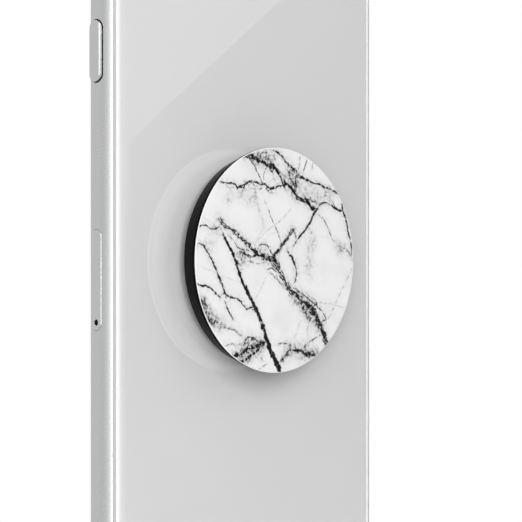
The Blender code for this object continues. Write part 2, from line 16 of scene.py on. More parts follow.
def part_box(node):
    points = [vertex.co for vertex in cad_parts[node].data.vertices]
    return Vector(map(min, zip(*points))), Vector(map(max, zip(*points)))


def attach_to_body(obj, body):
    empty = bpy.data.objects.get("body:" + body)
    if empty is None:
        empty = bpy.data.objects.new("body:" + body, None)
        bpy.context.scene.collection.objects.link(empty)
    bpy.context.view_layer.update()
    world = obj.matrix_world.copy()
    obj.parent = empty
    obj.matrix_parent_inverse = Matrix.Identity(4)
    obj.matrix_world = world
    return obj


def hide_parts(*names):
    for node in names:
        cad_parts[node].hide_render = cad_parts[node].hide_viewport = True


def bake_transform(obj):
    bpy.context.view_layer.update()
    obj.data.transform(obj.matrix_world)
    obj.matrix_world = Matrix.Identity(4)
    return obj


MM = 0.001

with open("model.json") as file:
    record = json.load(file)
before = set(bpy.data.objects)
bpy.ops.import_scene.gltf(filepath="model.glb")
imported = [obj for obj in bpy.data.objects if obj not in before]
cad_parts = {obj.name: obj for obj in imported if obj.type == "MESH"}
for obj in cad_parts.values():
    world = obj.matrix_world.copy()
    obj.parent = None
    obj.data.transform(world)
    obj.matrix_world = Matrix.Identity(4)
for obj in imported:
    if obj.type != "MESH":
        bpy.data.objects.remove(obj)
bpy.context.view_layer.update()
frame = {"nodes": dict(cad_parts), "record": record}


# Sizes, read from the frame where it holds them


def box_mm(node):
    low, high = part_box(node)
    return low / MM, high / MM


def middle_x(node):
    low, high = box_mm(node)
    return (low.x + high.x) / 2


def middle_z(node):
    low, high = box_mm(node)
    return (low.z + high.z) / 2


FRAME_HIGH = box_mm("mid_frame")[1]
GLASS_LOW, GLASS_HIGH = box_mm("rear_glass")
TRAY_LOW = box_mm("sim_tray")[0]
INSERT_LOW, INSERT_HIGH = box_mm("grip_insert")
CAP_LOW, CAP_HIGH = box_mm("grip_cap")
KEY_LOW, KEY_HIGH = box_mm("home_key")

SIDE_X = FRAME_HIGH.x
LENGTH = FRAME_HIGH.z
WIDTH = 2 * SIDE_X
MIDDLE_Z = LENGTH / 2
BACK_Y = GLASS_HIGH.y
EDGE_RADIUS = BACK_Y
CORNER_RADIUS = 10.0
CORNER_STEPS = 28
BAND_SEAT = FRAME_HIGH.y
GLASS_SEAT = GLASS_LOW.y
BAND_WALL = 2.6
CAVITY_X = SIDE_X - BAND_WALL
GRIP_Z = middle_z("grip_insert")
GRIP_RADIUS = (INSERT_HIGH.x - INSERT_LOW.x) / 2
FACE_Y = INSERT_HIGH.y
CAMERA_X = middle_x("camera_trim_ring")
CAMERA_Z = middle_z("camera_trim_ring")
FLASH_X = middle_x("flash_lens")
HOME_KEY_Z = middle_z("home_key")
HOME_KEY_RADIUS = (KEY_HIGH.x - KEY_LOW.x) / 2
EARPIECE_Z = middle_z("earpiece_mesh")
KEY_FLANGE = 0.55


def key_size(node):
    """The (length, width) of a key's cap: its box without the flange that keeps it in."""
    low, high = box_mm(node)
    return high.z - low.z - 2 * KEY_FLANGE, high.y - low.y - 2 * KEY_FLANGE


SIDE_BUTTON = {"z": middle_z("side_button"), "size": key_size("side_button")}
VOLUME_UP = {"z": middle_z("volume_up_button"), "size": key_size("volume_up_button")}
VOLUME_DOWN = {"z": middle_z("volume_down_button"), "size": key_size("volume_down_button")}
MUTE_Z = middle_z("mute_switch")
TRAY_Z = middle_z("sim_tray")
TRAY_FACE = (17.0, 2.4)
PINHOLE_Z = middle_z("sim_eject_rod")


# Shapes


def rounded_rectangle(width, height, radius, steps=6):
    points = []
    for quarter, (side_a, side_b) in enumerate(((1, 1), (-1, 1), (-1, -1), (1, -1))):
        for step in range(steps + 1):
            angle = (quarter + step / steps) * pi / 2
            across = side_a * (width / 2 - radius) + radius * cos(angle)
            up = side_b * (height / 2 - radius) + radius * sin(angle)
            points.append((across, up))
    return points


def stadium(width, height, steps=12):
    """A slot outline with two half-round ends, taller than wide or wider than tall."""
    radius = min(width, height) / 2
    reach = max(width, height) / 2 - radius
    points = []
    for end, start in ((1, 0.0), (-1, pi)):
        for step in range(2 * steps + 1):
            angle = start + pi * step / (2 * steps)
            across, along = radius * cos(angle), radius * sin(angle) + end * reach
            points.append((across, along) if height >= width else (along, -across))
    return points


def circle(radius, steps=64):
    return [(radius * cos(2 * pi * n / steps), radius * sin(2 * pi * n / steps)) for n in range(steps)]


def phone_outline(inset, steps=CORNER_STEPS):
    return rounded_rectangle(WIDTH - 2 * inset, LENGTH - 2 * inset, CORNER_RADIUS - inset, steps)


def in_space(point, axis, along):
    first, second = point
    return {"X": (along, first, second), "Y": (first, along, second), "Z": (first, second, along)}[axis]


def skinned(rings, joined_ends=False, capped=True):
    """A skin over rings of equal length."""
    mesh = bmesh.new()
    rows = [[mesh.verts.new(point) for point in ring] for ring in rings]
    count = len(rows[0])
    pairs = list(zip(rows, rows[1:]))
    if joined_ends:
        pairs.append((rows[-1], rows[0]))
    for lower, upper in pairs:
        for n in range(count):
            after = (n + 1) % count
            mesh.faces.new((lower[n], lower[after], upper[after], upper[n]))
    if capped and not joined_ends:
        mesh.faces.new(rows[0])
        mesh.faces.new(rows[-1])
    bmesh.ops.recalc_face_normals(mesh, faces=mesh.faces)
    return mesh


def prism(points, axis, low, high):
    return skinned([[in_space(point, axis, along) for point in points] for along in (low, high)])


def phone_skin(profile, joined_ends=False):
    """The (inset, y) profile carried round the phone's outline."""
    rings = [[(x, height, z + MIDDLE_Z) for x, z in phone_outline(inset)] for inset, height in profile]
    return skinned(rings, joined_ends)


def turned(profile, axis="Y", steps=128):
    """The closed (radius, height) profile turned about the axis; a radius of 0 closes it on the axis."""
    mesh = bmesh.new()
    rows = []
    for radius, height in profile:
        if radius == 0:
            rows.append([mesh.verts.new(in_space((0, 0), axis, height))] * steps)
        else:
            rows.append([mesh.verts.new(in_space(point, axis, height)) for point in circle(radius, steps)])
    for lower, upper in zip(rows, rows[1:] + rows[:1]):
        for n in range(steps):
            after = (n + 1) % steps
            corners = list(dict.fromkeys((lower[n], lower[after], upper[after], upper[n])))
            if len(corners) > 2:
                mesh.faces.new(corners)
    bmesh.ops.recalc_face_normals(mesh, faces=mesh.faces)
    return mesh


def block(x_range, y_range, z_range):
    outline = [(x_range[n], z_range[m]) for n, m in ((1, 1), (0, 1), (0, 0), (1, 0))]
    return prism(outline, "Y", *y_range)


def moved(mesh, x=0.0, y=0.0, z=0.0):
    bmesh.ops.translate(mesh, vec=Vector((x, y, z)), verts=mesh.verts)
    return mesh


def rounded_corner(corner, radius, start, end, steps=5):
    """Points on an arc about corner, from one angle to another in degrees."""
    angles = [radians(start + (end - start) * step / steps) for step in range(steps + 1)]
    return [(corner[0] + radius * cos(angle), corner[1] + radius * sin(angle)) for angle in angles]


# Objects


def new_mesh(name, mesh, sharp_angle=0.6):
    bmesh.ops.scale(mesh, vec=(MM, MM, MM), verts=mesh.verts)
    data = bpy.data.meshes.new(name)
    mesh.to_mesh(data)
    mesh.free()
    data.shade_smooth()
    data.set_sharp_from_angle(angle=sharp_angle)
    return data


def new_piece(name, mesh, material, sharp_angle=0.6):
    thing = bpy.data.objects.new(name, new_mesh(name, mesh, sharp_angle))
    thing.data.materials.append(material)
    bpy.context.scene.collection.objects.link(thing)
    return thing


def combined(piece, operation, others):
    """Applies a Boolean with each of the shapes, then drops them."""
    helpers = []
    for number, other in enumerate(others):
        helper = bpy.data.objects.new(f"helper_{number}", new_mesh("helper", other))
        bpy.context.scene.collection.objects.link(helper)
        helpers.append(helper)
        modifier = piece.modifiers.new("shape", "BOOLEAN")
        modifier.operation = operation
        modifier.object = helper
        modifier.solver = "EXACT"
    graph = bpy.context.evaluated_depsgraph_get()
    finished = bpy.data.meshes.new_from_object(piece.evaluated_get(graph))
    materials = list(piece.data.materials)
    piece.modifiers.clear()
    piece.data = finished
    finished.materials.clear()
    for material in materials:
        finished.materials.append(material)
    for helper in helpers:
        bpy.data.objects.remove(helper)
    return piece


def soften(piece, width, segments=3, angle=30):
    bevel = piece.modifiers.new("edges", "BEVEL")
    bevel.width = width * MM
    bevel.segments = segments
    bevel.limit_method = "ANGLE"
    bevel.angle_limit = radians(angle)
    bevel.harden_normals = True
    return piece


def attach(piece, body, slot, *nodes):
    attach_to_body(piece, body)
    if nodes:
        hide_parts(*nodes)
    return piece


def envelope_normal(point):
    """The outward direction of the phone's rounded slab at a point on it, in millimetres."""
    core_x = WIDTH / 2 - CORNER_RADIUS
    core_z = LENGTH / 2 - CORNER_RADIUS
    x, y, z = point.x, point.y, point.z - MIDDLE_Z
    out_x = x - min(max(x, -core_x), core_x)
    out_z = z - min(max(z, -core_z), core_z)
    reach = sqrt(out_x**2 + out_z**2)
    beyond = reach - (CORNER_RADIUS - EDGE_RADIUS)
    if beyond <= 1e-6:
        return Vector((0, 1 if y > 0 else -1, 0)), abs(abs(y) - EDGE_RADIUS)
    direction = Vector((out_x / reach * beyond, y, out_z / reach * beyond))
    return direction.normalized(), abs(direction.length - EDGE_RADIUS)


def follow_envelope(piece, tolerance=0.02, angle=0.35):
    """Shades the faces that lie on the phone's outer surface as the true round surface."""
    mesh = piece.data
    normals = [Vector(corner.vector) for corner in mesh.corner_normals]
    for face in mesh.polygons:
        for loop in face.loop_indices:
            point = mesh.vertices[mesh.loops[loop].vertex_index].co / MM
            normal, away = envelope_normal(point)
            if away < tolerance and normal.angle(face.normal) < angle:
                normals[loop] = normal
    mesh.normals_split_custom_set(normals)
    return piece


# Materials


def node_material(
    name, colour, roughness, metallic=0.0, coat=0.0, coat_roughness=0.03, specular=0.5, coat_ior=1.5
):
    material = bpy.data.materials.new(name)
    material.use_nodes = True
    shader = material.node_tree.nodes["Principled BSDF"]
    shader.inputs["Base Color"].default_value = (*colour, 1.0)
    shader.inputs["Roughness"].default_value = roughness
    shader.inputs["Metallic"].default_value = metallic
    shader.inputs["Coat Weight"].default_value = coat
    shader.inputs["Coat Roughness"].default_value = coat_roughness
    shader.inputs["Coat IOR"].default_value = coat_ior
    shader.inputs["Specular IOR Level"].default_value = specular
    return material


class Tree:
    """A short way to add and join shader nodes."""

    def __init__(self, material):
        self.nodes = material.node_tree.nodes
        self.links = material.node_tree.links
        self.shader = self.nodes["Principled BSDF"]

    def add(self, kind, **values):
        node = self.nodes.new(f"ShaderNode{kind}")
        for key, value in values.items():
            if hasattr(node, key):
                setattr(node, key, value)
            else:
                node.inputs[key.replace("_", " ")].default_value = value
        return node

    def join(self, source, target):
        self.links.new(source, target)

    def place(self, scale):
        """Object-space position, scaled along each axis."""
        coordinates = self.add("TexCoord")
        mapping = self.add("Mapping")
        mapping.inputs["Scale"].default_value = scale
        self.join(coordinates.outputs["Object"], mapping.inputs["Vector"])
        return mapping.outputs["Vector"]

    def noise(self, scale, detail=4.0, roughness=0.55, stretch=(1, 1, 1)):
        texture = self.add("TexNoise")
        texture.inputs["Scale"].default_value = scale
        texture.inputs["Detail"].default_value = detail
        texture.inputs["Roughness"].default_value = roughness
        self.join(self.place(stretch), texture.inputs["Vector"])
        return texture.outputs["Fac"]

    def spread(self, source, low, high):
        """Maps 0.3..0.7, where a noise texture mostly lies, to low..high."""
        node = self.add("MapRange")
        node.inputs["From Min"].default_value = 0.3
        node.inputs["From Max"].default_value = 0.7
        node.inputs["To Min"].default_value = low
        node.inputs["To Max"].default_value = high
        self.join(source, node.inputs["Value"])
        return node.outputs["Result"]

    def bump(self, source, strength, distance):
        node = self.add("Bump")
        node.inputs["Strength"].default_value = strength
        node.inputs["Distance"].default_value = distance
        self.join(source, node.inputs["Height"])
        self.join(node.outputs["Normal"], self.shader.inputs["Normal"])

    def tint(self, source, dark, light):
        """Base colour between two tones, led by a 0..1 source."""
        ramp = self.add("ValToRGB")
        ramp.color_ramp.elements[0].position = 0.3
        ramp.color_ramp.elements[1].position = 0.7
        ramp.color_ramp.elements[0].color = (*dark, 1)
        ramp.color_ramp.elements[1].color = (*light, 1)
        self.join(source, ramp.inputs["Fac"])
        self.join(ramp.outputs["Color"], self.shader.inputs["Base Color"])


def textured(name, dark, light, roughness, grain, bump=0.0, bump_size=2e-5, rough_spread=0.04, **surface):
    """A material whose tone, roughness and surface vary with a fine noise of the given grain (per metre)."""
    material = node_material(name, light, roughness, **surface)
    tree = Tree(material)
    fine = tree.noise(grain)
    broad = tree.noise(grain / 40, 3.0)
    tree.tint(broad, dark, light)
    sheen = tree.spread(fine, roughness - rough_spread, roughness + rough_spread)
    tree.join(sheen, tree.shader.inputs["Roughness"])
    if bump:
        tree.bump(fine, bump, bump_size)
    return material


def grey(value, cool=0.0):
    return (value * (1 - cool), value, value * (1 + cool))


def make_materials():
    return {
        "band_metal": textured(
            "anodised_band", grey(0.86, 0.006), grey(0.88, 0.006), 0.27, 9000, 0.12, 4e-6, 0.02, metallic=1.0
        ),
        "polished_metal": textured(
            "polished_edge", grey(0.90, 0.004), grey(0.93, 0.004), 0.12, 6000, 0.05, 3e-6, 0.02, metallic=1.0
        ),
        "antenna_plastic": textured("antenna_plastic", grey(0.50), grey(0.53), 0.38, 9000, 0.15, 8e-6),
        "gasket_rubber": textured("gasket", grey(0.47), grey(0.50), 0.5, 6000, 0.2, 1e-5),
        "rear_glass_white": textured(
            "rear_glass", grey(0.695), grey(0.705), 0.4, 2500,
            coat=1.0, coat_roughness=0.004, specular=0.1, coat_ior=1.6,
        ),
        "front_glass_white": textured(
            "front_glass", grey(0.76), grey(0.77), 0.4, 2500, coat=1.0, coat_roughness=0.015, specular=0.2
        ),
        "display_black": textured(
            "display", grey(0.006), grey(0.008, 0.05), 0.25, 5000, coat=1.0, coat_roughness=0.01, specular=0.3
        ),
        "steel": textured("steel", grey(0.50), grey(0.60), 0.34, 5000, 0.2, 1e-5, 0.08, metallic=1.0),
        "dark_mesh": mesh_material(),
        "key_glass": textured("home_key", grey(0.74), grey(0.76), 0.3, 2500, coat=1.0, coat_roughness=0.02),
        "black_plastic": textured("black_plastic", grey(0.018), grey(0.026), 0.48, 9000, 0.3, 1e-5),
        "battery_foil": textured("battery", grey(0.03), grey(0.04), 0.4, 1500, 0.3, 4e-5, 0.08),
        "adhesive": textured("adhesive", grey(0.02), grey(0.03), 0.6, 3000, 0.3, 2e-5),
        "board_laminate": board_material(),
        "flex_film": textured("flex", (0.22, 0.10, 0.02), (0.30, 0.14, 0.03), 0.35, 3000, 0.2, 1e-5),
        "copper_wire": coil_material(),
        "lens_glass": lens_material(),
        "flash_glass": textured(
            "flash", (0.80, 0.72, 0.44), (0.88, 0.80, 0.55), 0.25, 12000, 0.4, 2e-5, coat=1.0
        ),
        "card_plastic": textured("card", grey(0.78), grey(0.82), 0.4, 5000, 0.1, 8e-6),
        "orange": textured("mute_backing", (0.75, 0.22, 0.05), (0.85, 0.27, 0.06), 0.5, 4000),
        "gold": textured("gold", (0.60, 0.38, 0.12), (0.68, 0.45, 0.17), 0.25, 5000, 0.1, 5e-6, metallic=1.0),
        "grip_black": textured(
            "grip_shell", grey(0.003), grey(0.005), 0.33, 7000, 0.05, 4e-6, 0.03, specular=0.02
        ),
        "bellows_black": textured("bellows", grey(0.010), grey(0.014), 0.42, 6000, 0.15, 1e-5),
        "marble_print": marble_material(),
        "lens_coating": textured(
            "lens_coating", (0.01, 0.012, 0.03), (0.02, 0.018, 0.05), 0.08, 3000, coat=1.0, coat_roughness=0.0
        ),
    }


def mesh_material():
    """Woven earpiece mesh: two sets of fine wires as waves in the surface."""
    material = node_material("earpiece_mesh", grey(0.06), 0.5, metallic=1.0)
    tree = Tree(material)
    waves = []
    for direction in ("X", "Z"):
        wave = tree.add("TexWave", bands_direction=direction)
        wave.inputs["Scale"].default_value = 1400
        tree.join(tree.place((1, 1, 1)), wave.inputs["Vector"])
        waves.append(wave.outputs["Fac"])
    mixed = tree.add("Math", operation="MULTIPLY")
    tree.join(waves[0], mixed.inputs[0])
    tree.join(waves[1], mixed.inputs[1])
    tree.tint(mixed.outputs["Value"], grey(0.12), grey(0.02))
    tree.bump(mixed.outputs["Value"], 0.6, 5e-5)
    return material


def board_material():
    """Dark solder mask with faint traces."""
    material = node_material("main_board", (0.01, 0.03, 0.05), 0.4)
    tree = Tree(material)
    cells = tree.add("TexVoronoi", feature="DISTANCE_TO_EDGE", distance="MANHATTAN")
    cells.inputs["Scale"].default_value = 700
    tree.join(tree.place((1, 1, 1)), cells.inputs["Vector"])
    tree.tint(cells.outputs["Distance"], (0.05, 0.10, 0.12), (0.012, 0.03, 0.05))
    tree.bump(cells.outputs["Distance"], 0.3, 3e-5)
    return material


def coil_material():
    """A flat winding of lacquered copper wire: rings about the coil's own centre."""
    material = node_material("charging_coil", (0.72, 0.34, 0.18), 0.3, metallic=1.0)
    tree = Tree(material)
    wave = tree.add("TexWave", wave_type="RINGS", rings_direction="Y")
    wave.inputs["Scale"].default_value = 400
    centre = tree.add("Mapping")
    centre.inputs["Location"].default_value = (0, 0, -MIDDLE_Z * MM)
    tree.join(tree.add("TexCoord").outputs["Object"], centre.inputs["Vector"])
    tree.join(centre.outputs["Vector"], wave.inputs["Vector"])
    tree.tint(wave.outputs["Fac"], (0.25, 0.08, 0.03), (0.80, 0.40, 0.22))
    tree.bump(wave.outputs["Fac"], 0.6, 1e-4)
    return material


def lens_material():
    material = node_material("lens_cover", grey(1.0), 0.0)
    tree = Tree(material)
    tree.shader.inputs["Transmission Weight"].default_value = 1.0
    tree.shader.inputs["IOR"].default_value = 1.5
    tree.tint(tree.noise(2000), (0.90, 0.92, 0.96), (0.94, 0.95, 0.98))
    return material


def marble_material():
    """Glossy print: the vein map held by the mesh drives the tone, with a fine grain on top."""
    material = node_material("marble_print", grey(0.86), 0.3, coat=1.0, coat_roughness=0.04, specular=0.1)
    tree = Tree(material)
    veins = tree.add("Attribute", attribute_name="vein")
    grain = tree.noise(2600, 6.0, 0.6)
    fleck = tree.spread(grain, -0.05, 0.05)
    total = tree.add("Math", operation="ADD")
    tree.join(veins.outputs["Fac"], total.inputs[0])
    weight = tree.add("Math", operation="MULTIPLY")
    tree.join(fleck, weight.inputs[0])
    tree.join(veins.outputs["Fac"], weight.inputs[1])
    tree.join(weight.outputs["Value"], total.inputs[1])
    ramp = tree.add("ValToRGB")
    stops = ((0.0, grey(0.94)), (0.25, grey(0.66)), (0.5, grey(0.31)), (0.75, grey(0.05)), (1.0, grey(0.006)))
    elements = ramp.color_ramp.elements
    for number, (position, colour) in enumerate(stops):
        element = elements[number] if number < 2 else elements.new(position)
        element.position = position
        element.color = (*colour, 1)
    tree.join(total.outputs["Value"], ramp.inputs["Fac"])
    tree.join(ramp.outputs["Color"], tree.shader.inputs["Base Color"])
    return material


# The case


def side_surface(y):
    return SIDE_X - EDGE_RADIUS + sqrt(EDGE_RADIUS**2 - y**2)


def side_opening(outline_at, side, z, chamfer=0.10, depth=3.2):
    """A hole through one side, chamfered at the round surface; outline_at(grow) gives (y, z) points."""
    rings = []
    for grow, lift in ((0, -depth), (0, -chamfer), (chamfer, 0.02), (chamfer, 2.0)):
        rings.append([(side * (side_surface(y) + lift), y, up + z) for y, up in outline_at(grow)])
    return skinned(rings)


def key_outline(size, gap):
    return lambda grow: stadium(size[1] + 2 * (gap + grow), size[0] + 2 * (gap + grow))


BUTTON_GAP = 0.19
TRAY_GAP = 0.05
MUTE_SLOT = (2.9, 6.2)
SEAT_FILLET = 0.10
ANTENNA_FROM_END = 10.9
SCREW_X = 7.4


def edge_point(height, drawn_in=0.0):
    return EDGE_RADIUS - sqrt(EDGE_RADIUS**2 - height**2) + drawn_in


def edge_arc(low, high, steps):
    start, end = asin(low / EDGE_RADIUS), asin(min(high / EDGE_RADIUS, 1.0))
    angles = [start + (end - start) * step / steps for step in range(steps + 1)]
    return [(EDGE_RADIUS * (1 - cos(angle)), EDGE_RADIUS * sin(angle)) for angle in angles]


def mute_outline(grow):
    return rounded_rectangle(MUTE_SLOT[0] + 2 * grow, MUTE_SLOT[1] + 2 * grow, 0.7, 6)


def add_band(materials):
    seat = BAND_SEAT
    fillet = [(edge_point(seat - 0.04) + 0.005, seat - 0.04), (edge_point(seat) + 0.03, seat)]
    lower = [(inset, -height) for inset, height in reversed(fillet)]
    profile = lower + edge_arc(-seat + SEAT_FILLET, seat - SEAT_FILLET, 36) + fillet
    profile += [(BAND_WALL, seat), (BAND_WALL, -seat)]
    band = new_piece("band", phone_skin(profile, joined_ends=True), materials["band_metal"])
    plate = rounded_rectangle(WIDTH - 2 * BAND_WALL + 0.6, LENGTH - 2 * BAND_WALL + 0.6, 7.0, 10)
    combined(band, "UNION", [moved(prism(plate, "Y", 1.90, 2.40), z=MIDDLE_Z)])
    openings = [
        side_opening(key_outline(SIDE_BUTTON["size"], BUTTON_GAP), 1, SIDE_BUTTON["z"]),
        side_opening(key_outline(TRAY_FACE, TRAY_GAP), 1, TRAY_Z, 0.05),
        side_opening(key_outline(VOLUME_UP["size"], BUTTON_GAP), -1, VOLUME_UP["z"]),
        side_opening(key_outline(VOLUME_DOWN["size"], BUTTON_GAP), -1, VOLUME_DOWN["z"]),
        side_opening(mute_outline, -1, MUTE_Z),
        moved(prism(circle(23.5, 96), "Y", 1, 3), z=MIDDLE_Z),
        moved(prism(circle(3.9, 48), "Y", 1, 3), x=CAMERA_X, z=CAMERA_Z),
        moved(prism(circle(2.1, 32), "Y", 1, 3), x=FLASH_X, z=CAMERA_Z),
        bottom_opening(lambda grow: stadium(9.3 + 2 * grow, 3.5 + 2 * grow), 0, 0.15),
    ]
    openings += [bottom_opening(lambda grow: circle(1.0 + grow, 32), x, 0.06) for x in (SCREW_X, -SCREW_X)]
    openings += [bottom_opening(lambda grow: circle(0.65 + grow, 24), x, 0.05) for x in grille_places()]
    for side in (1, -1):
        for z in (ANTENNA_FROM_END, LENGTH - ANTENNA_FROM_END):
            x_range = sorted((side * (SIDE_X - 1.36), side * (SIDE_X + 2)))
            openings.append(block(x_range, (-3, 3), (z - 0.57, z + 0.57)))
    combined(band, "DIFFERENCE", openings)
    follow_envelope(band)
    attach(band, "phone", "band_metal", "mid_frame")
    for node in ("right_bottom", "right_top", "left_bottom", "left_top"):
        add_antenna_insert(f"antenna_insert_{node}", materials)


def bottom_surface(y):
    return EDGE_RADIUS - sqrt(EDGE_RADIUS**2 - y**2)


def bottom_opening(outline_at, x, chamfer):
    """A hole up through the bottom of the band; outline_at(grow) gives (x, y) points."""
    rings = []
    for grow, lift in ((chamfer, -2.0), (chamfer, -0.02), (0, chamfer), (0, BAND_WALL + 0.8)):
        rings.append([(x + across, y, bottom_surface(y) + lift) for across, y in outline_at(grow)])
    return skinned(rings)


def grille_places():
    return [side * (10.6 + 1.9 * n) for side in (1, -1) for n in range(6)]


def add_antenna_insert(node, materials):
    low, high = box_mm(node)
    side = 1 if low.x > 0 else -1
    rings = []
    for height in (low.z, high.z):
        arc = edge_arc(-BAND_SEAT + 0.04, BAND_SEAT - 0.04, 24)
        outer = [(side * (SIDE_X - inset), y, height) for inset, y in arc]
        inner = [(side * (SIDE_X - 1.3), y, height) for y in (BAND_SEAT - 0.04, -BAND_SEAT + 0.04)]
        rings.append(outer + inner)
    insert = new_piece(f"fine_{node}", skinned(rings), materials["antenna_plastic"])
    follow_envelope(insert)
    attach(insert, "phone", "antenna_plastic", node)


def add_gasket(name, side, node, materials):
    low, high = BAND_SEAT + 0.02, GLASS_SEAT - 0.02
    middle, inner = (low + high) / 2, BAND_WALL - 0.05
    profile = [(edge_point(low, 0.05), side * low), (edge_point(middle, 0.045), side * middle)]
    profile += [(edge_point(high, 0.05), side * high), (inner, side * high), (inner, side * low)]
    gasket = new_piece(name, phone_skin(profile, joined_ends=True), materials["gasket_rubber"])
    attach(gasket, "phone", "gasket_rubber", node)


def add_rear_glass(materials):
    profile = [(edge_point(GLASS_SEAT, 0.05), GLASS_SEAT)] + edge_arc(GLASS_SEAT + 0.05, EDGE_RADIUS, 24)
    glass = new_piece("rear_pane", phone_skin(profile), materials["rear_glass_white"])
    holes = []
    for x, radius, steps in ((CAMERA_X, 5.2, 96), (FLASH_X, 2.03, 48)):
        wide = radius + 0.07
        hole = ((2, radius), (BACK_Y - 0.06, radius), (BACK_Y + 0.01, wide), (5, wide))
        rings = [[(across, y, up) for across, up in circle(size, steps)] for y, size in hole]
        holes.append(moved(skinned(rings), x=x, z=CAMERA_Z))
    combined(glass, "DIFFERENCE", holes)
    follow_envelope(glass)
    attach(glass, "phone", "rear_glass_white", "rear_glass")


SCREEN_SIZE = (58.5, 104.0)


def flat_face_with_holes(outline, holes, y):
    """One flat face in the plane at y, facing -Y, with the holes left out."""
    mesh = bmesh.new()
    edges = []
    for loop in [outline] + holes:
        corners = [mesh.verts.new((x, y, z)) for x, z in loop]
        edges += [mesh.edges.new((corners[n], corners[(n + 1) % len(corners)])) for n in range(len(corners))]
    bmesh.ops.triangle_fill(mesh, use_beauty=True, use_dissolve=False, edges=edges, normal=(0, -1, 0))
    for face in mesh.faces:
        face.normal_update()
        if face.normal.y > 0:
            face.normal_flip()
    return mesh


def add_front_glass(materials):
    """The pane's curved edge and back; its front face is split into border, screen and lens windows."""
    outer = edge_arc(GLASS_SEAT + 0.05, EDGE_RADIUS, 20)
    profile = [(edge_point(GLASS_SEAT, 0.05), -GLASS_SEAT)] + [(inset, -height) for inset, height in outer]
    rings = [[(x, height, z + MIDDLE_Z) for x, z in phone_outline(inset)] for inset, height in profile]
    shell = skinned(rings, capped=False)
    face_outline = [(x, z + MIDDLE_Z) for x, z in phone_outline(EDGE_RADIUS)]
    back_outline = [(x, z + MIDDLE_Z) for x, z in phone_outline(profile[0][0])]
    screen = [(x, z + MIDDLE_Z) for x, z in rounded_rectangle(*SCREEN_SIZE, 0.4, 4)]
    key_hole = [(x, z + HOME_KEY_Z) for x, z in circle(HOME_KEY_RADIUS + 0.68, 72)]
    slot = [(x, z + EARPIECE_Z) for x, z in stadium(10.6, 1.6, 12)]
    lens = [(x - 10.6, z + EARPIECE_Z) for x, z in circle(1.5, 48)]
    sensor = [(x, z + EARPIECE_Z + 3.0) for x, z in circle(0.8, 32)]
    parts = [
        (shell, 0),
        (flat_face_with_holes(face_outline, [screen, key_hole, slot, lens, sensor], -EDGE_RADIUS), 0),
        (flat_face_with_holes(screen, [], -EDGE_RADIUS), 1),
        (flat_face_with_holes(lens, [], -EDGE_RADIUS), 1),
        (flat_face_with_holes(sensor, [], -EDGE_RADIUS), 1),
        (flat_face_with_holes(back_outline, [key_hole, slot], -GLASS_SEAT), 0),
    ]
    for loop in (key_hole, slot):
        walls = [[(x, y, z) for x, z in loop] for y in (-EDGE_RADIUS, -GLASS_SEAT)]
        parts.append((skinned(walls, capped=False), 0))
    whole = bmesh.new()
    for mesh, index in parts:
        for face in mesh.faces:
            face.material_index = index
        carrier = bpy.data.meshes.new("carrier")
        mesh.to_mesh(carrier)
        whole.from_mesh(carrier)
        bpy.data.meshes.remove(carrier)
        mesh.free()
    bmesh.ops.remove_doubles(whole, verts=whole.verts, dist=1e-4)
    bmesh.ops.recalc_face_normals(whole, faces=whole.faces)
    glass = new_piece("front_pane", whole, materials["front_glass_white"])
    glass.data.materials.append(materials["display_black"])
    follow_envelope(glass)
    attach(glass, "phone", "front_glass_white", "front_glass")


# Controls on the sides


def add_key(name, body, node, size, side, materials):
    """A stadium cap with a rounded bevel, and the flange behind the band that keeps it in."""
    z = middle_z(node)
    face = max(abs(box_mm(node)[0].x), abs(box_mm(node)[1].x))
    bevel = 0.09
    turns = [radians(angle) for angle in (90, 67, 45, 22, 0)]
    arc = [(bevel - bevel * sin(turn), face - bevel + bevel * cos(turn)) for turn in turns]
    rings = []
    for inset, x in [(0, CAVITY_X - 0.4), (0, face - bevel - 0.05)] + arc:
        outline = stadium(size[1] - 2 * inset, size[0] - 2 * inset, 16)
        rings.append([(side * x, y, up + z) for y, up in outline])
    cap = new_piece(name, skinned(rings), materials["band_metal"], 0.9)
    cap.data.materials.append(materials["polished_metal"])
    flange = stadium(size[1] + 2 * KEY_FLANGE, size[0] + 2 * KEY_FLANGE)
    x_range = sorted((side * (CAVITY_X - 0.75), side * (CAVITY_X - 0.12)))
    combined(cap, "UNION", [moved(prism(flange, "X", *x_range), z=z)])
    cap.data.shade_smooth()
    cap.data.set_sharp_from_angle(angle=0.6)
    attach(cap, body, "band_metal", node)


def add_mute_lever(materials):
    low, high = box_mm("mute_switch")
    width, length = 1.5, 5.8
    rest_y = -0.6
    x = -SIDE_X + 0.1
    rings = []
    for inset, along in ((0, -CAVITY_X + 0.5), (0, x + 0.2), (0.06, x + 0.06), (0.2, x)):
        rings.append(
            [(along, y + rest_y, up + MUTE_Z) for y, up in stadium(width - 2 * inset, length - 2 * inset, 12)]
        )
    lever = new_piece("mute_lever", skinned(rings), materials["band_metal"])
    slider = block((low.x + 2.5, high.x), (low.y, high.y), (low.z, high.z))
    combined(lever, "UNION", [slider])
    attach(lever, "mute_lever", "band_metal", "mute_switch")
    warning = block((-CAVITY_X + 0.82, -CAVITY_X + 0.9), (-1.3, 1.3), (MUTE_Z - 2.9, MUTE_Z + 2.9))
    backing = new_piece("mute_backing", warning, materials["orange"])
    attach(backing, "phone", "black_plastic")


